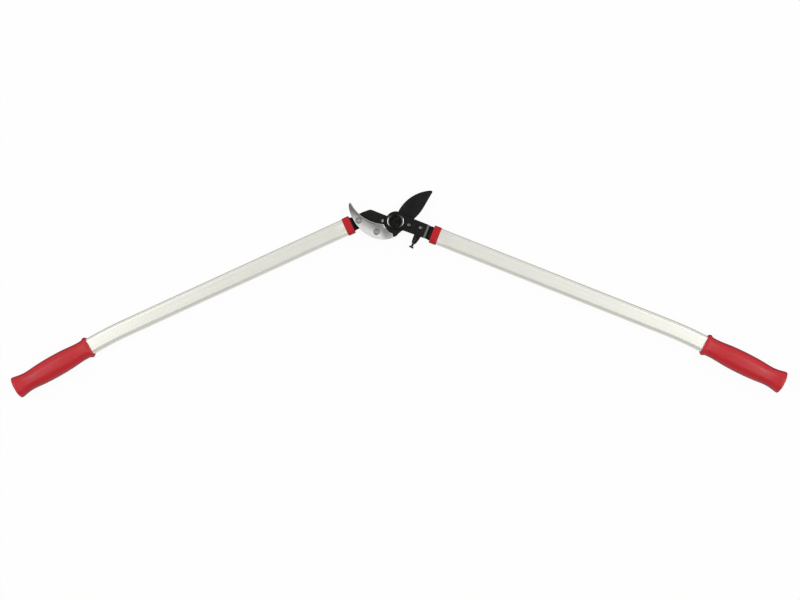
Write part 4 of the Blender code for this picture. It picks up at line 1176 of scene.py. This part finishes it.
def make_collar(side, lever):
    n = 9

    def sec(shrink):
        return rounded_rect(COLLAR_W - 2 * shrink, COLLAR_D - 2 * shrink,
                            COLLAR_RC - shrink, n)
    bore = rounded_rect(TUBE_W + 0.7, TUBE_D + 0.7, TUBE_RC + 0.35, n)
    bore_in = rounded_rect(TUBE_W + 1.5, TUBE_D + 1.5, TUBE_RC + 0.75, n)
    tang = rounded_rect(TANG_W + 0.7, TANG_D + 0.7, TANG_RC + 0.35, n)
    L, f = COLLAR_L, 1.2
    rings = []
    for k in range(6):
        t = math.pi / 2 * k / 5
        rings.append(lever.ring(f * (1 - math.sin(t)), sec(f * (1 - math.cos(t)))))
    rings.reverse()
    for k in range(6):
        t = math.pi / 2 * k / 5
        rings.append(lever.ring(L - f * (1 - math.sin(t)), sec(f * (1 - math.cos(t)))))
    rings += [lever.ring(L, bore_in), lever.ring(L - 0.4, bore),
              lever.ring(COLLAR_WALL, bore), lever.ring(COLLAR_WALL, tang),
              lever.ring(0.0, tang)]
    obj = rings_object("collar_%s_look" % side, rings, closed=True)
    add_flow(obj, lever)
    piece(obj, "collar_" + side, MAT_COLLAR)


GRIP_PROFILE = [
            (0.0, 31.8, 24.6), (0.3, 32.9, 25.2), (1.1, 34.8, 26.2), (2.1, 36.7, 27.0),
            (3.1, 38.0, 27.5), (4.4, 38.6, 27.8), (5.6, 38.3, 27.8), (6.6, 37.3, 27.6),
            (7.8, 35.7, 27.3), (9.6, 34.1, 27.0), (12.6, 33.3, 26.7),
            (16.6, 33.1, 26.5), (23.6, 33.4, 26.6), (31.6, 34.5, 27.7),
            (46.6, 37.1, 30.2), (61.6, 38.2, 31.6), (72.0, 38.4, 32.0),
            (81.6, 38.2, 31.8), (101.8, 36.4, 29.9), (116.8, 33.7, 27.4),
            (123.9, 33.2, 26.9), (130.0, 33.9, 27.6), (136.0, 35.7, 29.2),
            (140.1, 37.3, 30.6), (143.2, 38.6, 31.6), (145.4, 39.2, 31.95),
            (146.9, 39.3, 32.0), (147.5, 38.8, 31.5), (147.94, 37.4, 30.0),
            (148.5, 34.8, 27.5), (149.24, 31.0, 23.7), (150.3, 25.2, 18.2),
            (151.13, 19.2, 13.0), (151.73, 12.8, 8.2), (152.2, 5.4, 3.4)]


def grip_stations():
    """The profile, divided evenly along its own length without overshoot."""
    g = np.array([p[0] for p in GRIP_PROFILE])
    g = np.where(g > 144.5, 144.5 + (g - 144.5) * 0.975, g)
    w = np.array([p[1] for p in GRIP_PROFILE]) * 0.989
    d = np.array([p[2] for p in GRIP_PROFILE])
    arcs = np.concatenate([[0], np.cumsum(np.hypot(np.diff(g), np.diff(w) / 2))])
    fine = []
    for i in range(len(g) - 1):
        k = max(2, int(math.ceil((arcs[i + 1] - arcs[i]) / 1.3)))
        fine += list(np.linspace(arcs[i], arcs[i + 1], k, endpoint=False))
    fine = np.array(fine + [arcs[-1]])

    def hermite(y):
        """Monotone cubic through the given points."""
        h = np.diff(arcs)
        dlt = np.diff(y) / h
        m = np.zeros(len(y))
        m[0], m[-1] = dlt[0], dlt[-1]
        for i in range(1, len(y) - 1):
            if dlt[i - 1] * dlt[i] > 0:
                w1, w2 = 2 * h[i] + h[i - 1], h[i] + 2 * h[i - 1]
                m[i] = (w1 + w2) / (w1 / dlt[i - 1] + w2 / dlt[i])
        out = []
        for x in fine:
            i = min(max(int(np.searchsorted(arcs, x)) - 1, 0), len(h) - 1)
            t = (x - arcs[i]) / h[i]
            out.append((2 * t ** 3 - 3 * t ** 2 + 1) * y[i] + (t ** 3 - 2 * t ** 2 + t) * h[i] * m[i]
                       + (-2 * t ** 3 + 3 * t ** 2) * y[i + 1] + (t ** 3 - t ** 2) * h[i] * m[i + 1])
        return np.array(out)
    return list(zip(hermite(g), hermite(w), hermite(d)))


def make_grip(side, lever):
    n = 12
    ridge = 0.14                # parting line of the mould, standing proud
    flats = [(-0.8, 0.0), (-0.30, 0.0), (-0.16, ridge), (0.16, ridge), (0.30, 0.0),
             (0.8, 0.0)]

    def sec(w, d, k=0.46):
        return rounded_rect(w - 2 * ridge, d - 0.05, k * d, n, flats)
    bore = rounded_rect(TUBE_W + 0.7, TUBE_D + 0.7, TUBE_RC + 0.35, n,
                        [(q, 0.0) for q, _ in flats])
    rings = [lever.ring(TUBE_H1 + 0.5, bore), lever.ring(GRIP_H0 + 0.4, bore)]
    lip = rounded_rect(TUBE_W + 1.3, TUBE_D + 1.3, TUBE_RC + 0.65, n,
                       [(q, 0.0) for q, _ in flats])
    rings.append(lever.ring(GRIP_H0, lip))
    for g, w, d in grip_stations():
        rings.append(lever.ring(GRIP_H0 + g, sec(w, d)))
    obj = rings_object("grip_%s_look" % side, rings, smooth=40)
    add_flow(obj, lever)
    piece(obj, "grip_" + side, MAT_GRIP)


make_blade()
make_anvil()
make_forged()
make_anvil_screws()
make_rivets()
make_blade_screws()
make_pivot()
make_stop_screw()
make_pins()
for side_, lever_ in (("right", RIGHT), ("left", LEFT)):
    make_tube(side_, lever_)
    make_collar(side_, lever_)
    make_grip(side_, lever_)


# ------------------------------------------------------------------------- stage
def make_floor():
    mesh = bpy.data.meshes.new("floor")
    n, half = 24, 6.0
    verts = [(-half + 2 * half * i / n, -half + 2 * half * j / n, -0.0003)
             for j in range(n + 1) for i in range(n + 1)]
    faces = [(j * (n + 1) + i, j * (n + 1) + i + 1, (j + 1) * (n + 1) + i + 1,
              (j + 1) * (n + 1) + i) for j in range(n) for i in range(n)]
    mesh.from_pydata(verts, [], faces)
    floor = link(mesh, "floor")
    mat = bpy.data.materials.new("pale_floor")
    mat.use_nodes = True
    tree = mat.node_tree
    tree.nodes.clear()
    out = tree.nodes.new("ShaderNodeOutputMaterial")
    add = tree.nodes.new("ShaderNodeAddShader")
    lit = tree.nodes.new("ShaderNodeBsdfDiffuse")
    lit.inputs["Color"].default_value = (0.05, 0.05, 0.05, 1)
    glow = tree.nodes.new("ShaderNodeEmission")
    glow.inputs["Color"].default_value = (1.0, 1.0, 1.0, 1)
    glow.inputs["Strength"].default_value = 0.945
    tree.links.new(lit.outputs[0], add.inputs[0])
    tree.links.new(glow.outputs[0], add.inputs[1])
    tree.links.new(add.outputs[0], out.inputs["Surface"])
    mesh.materials.append(mat)
    floor.visible_diffuse = False
    floor.visible_glossy = False


def make_world():
    world = bpy.data.worlds.new("studio")
    bpy.context.scene.world = world
    world.use_nodes = True
    tree = world.node_tree
    tree.nodes.clear()

    def node(kind, **props):
        n = tree.nodes.new(kind)
        for k, v in props.items():
            setattr(n, k, v)
        return n

    def calc(op, a, b=None, clamp=False):
        n = node("ShaderNodeMath", operation=op, use_clamp=clamp)
        for i, v in enumerate((a, b)):
            if isinstance(v, bpy.types.NodeSocket):
                tree.links.new(v, n.inputs[i])
            elif v is not None:
                n.inputs[i].default_value = v
        return n.outputs[0]

    def span(value, a, b, c, d):
        n = node("ShaderNodeMapRange", interpolation_type="SMOOTHSTEP")
        tree.links.new(value, n.inputs["Value"])
        for k, v in zip(("From Min", "From Max", "To Min", "To Max"), (a, b, c, d)):
            n.inputs[k].default_value = v
        return n.outputs["Result"]
    coord = node("ShaderNodeTexCoord")
    sep = node("ShaderNodeSeparateXYZ")
    tree.links.new(coord.outputs["Generated"], sep.inputs[0])
    x, y, z = sep.outputs
    # dim overhead, brighter low and behind; below the horizon pale in front only
    behind = span(y, -0.40, 0.40, 0.0, 1.0)
    fore = span(z, 0.70, 0.30, 0.26, 0.55)
    rear = span(z, 0.78, 0.50, 0.30, 0.95)
    sky = calc("ADD", fore, calc("MULTIPLY", behind, calc("SUBTRACT", rear, fore)))
    below = span(z, 0.05, -0.20, 0.0, 1.0)
    ground = span(y, -0.30, 0.30, 0.85, 0.22)
    sky = calc("ADD", sky, calc("MULTIPLY", below, calc("SUBTRACT", ground, sky)))
    # pale overhead on both sides, more so on the right
    high = span(z, 0.86, 0.96, 0.0, 1.0)
    sky = calc("ADD", sky, calc("MULTIPLY", high, span(x, 0.01, 0.15, 0.0, 1.35)))
    sky = calc("ADD", sky, calc("MULTIPLY", high, span(x, -0.09, -0.23, 0.0, 0.70)))
    # a dark patch overhead, two degrees to the left
    tilt = calc("ADD", calc("MULTIPLY", x, -math.sin(rad(2))),
                calc("MULTIPLY", z, math.cos(rad(2))))
    zenith = span(tilt, math.cos(rad(10)), math.cos(rad(4.5)), 1.0, 0.15)
    light = calc("MULTIPLY", sky, zenith)
    seen = node("ShaderNodeLightPath").outputs["Is Camera Ray"]
    strength = calc("ADD", calc("MULTIPLY", light, calc("SUBTRACT", 1.0, seen)),
                    calc("MULTIPLY", 0.96, seen))
    back = node("ShaderNodeBackground")
    back.inputs["Color"].default_value = (1, 1, 1, 1)
    tree.links.new(strength, back.inputs["Strength"])
    out = node("ShaderNodeOutputWorld")
    tree.links.new(back.outputs[0], out.inputs["Surface"])


def softbox(name, direction, distance, size, radiance):
    """Large soft panel at a distance, turned towards the tool."""
    lamp = bpy.data.lights.new(name, "AREA")
    lamp.shape = "RECTANGLE"
    lamp.size, lamp.size_y = size
    lamp.energy = radiance * math.pi * size[0] * size[1]
    obj = bpy.data.objects.new(name, lamp)
    bpy.context.scene.collection.objects.link(obj)
    d = Vector(direction).normalized()
    obj.location = d * distance
    obj.rotation_euler = d.to_track_quat("Z", "Y").to_euler()
    obj.visible_camera = False
    return obj


make_floor()
make_world()
POLAR = rad(38)
softbox("box_right", (math.sin(POLAR), 0.0, math.cos(POLAR)), 3.0, (1.60, 0.45), 10.4)
softbox("box_left", (-math.sin(POLAR), 0.0, math.cos(POLAR)), 3.0, (1.60, 0.45), 9.3)


def make_camera():
    cam = bpy.data.cameras.new("camera")
    cam.lens = 65.7
    cam.sensor_width = 36.0
    cam.sensor_fit = "HORIZONTAL"
    cam.clip_start, cam.clip_end = 0.05, 60
    obj = bpy.data.objects.new("camera", cam)
    bpy.context.scene.collection.objects.link(obj)
    obj.location = (0.1000, -0.0714, 2.5112)
    obj.rotation_mode = "XYZ"
    obj.rotation_euler = Euler((rad(-1.44), rad(2.13), rad(0.03)), "XYZ")
    bpy.context.scene.camera = obj


make_camera()
view = bpy.context.scene.view_settings
view.view_transform = "Standard"
view.look = "None"
view.exposure = 0.0
view.gamma = 1.0

bpy.context.view_layer.update()
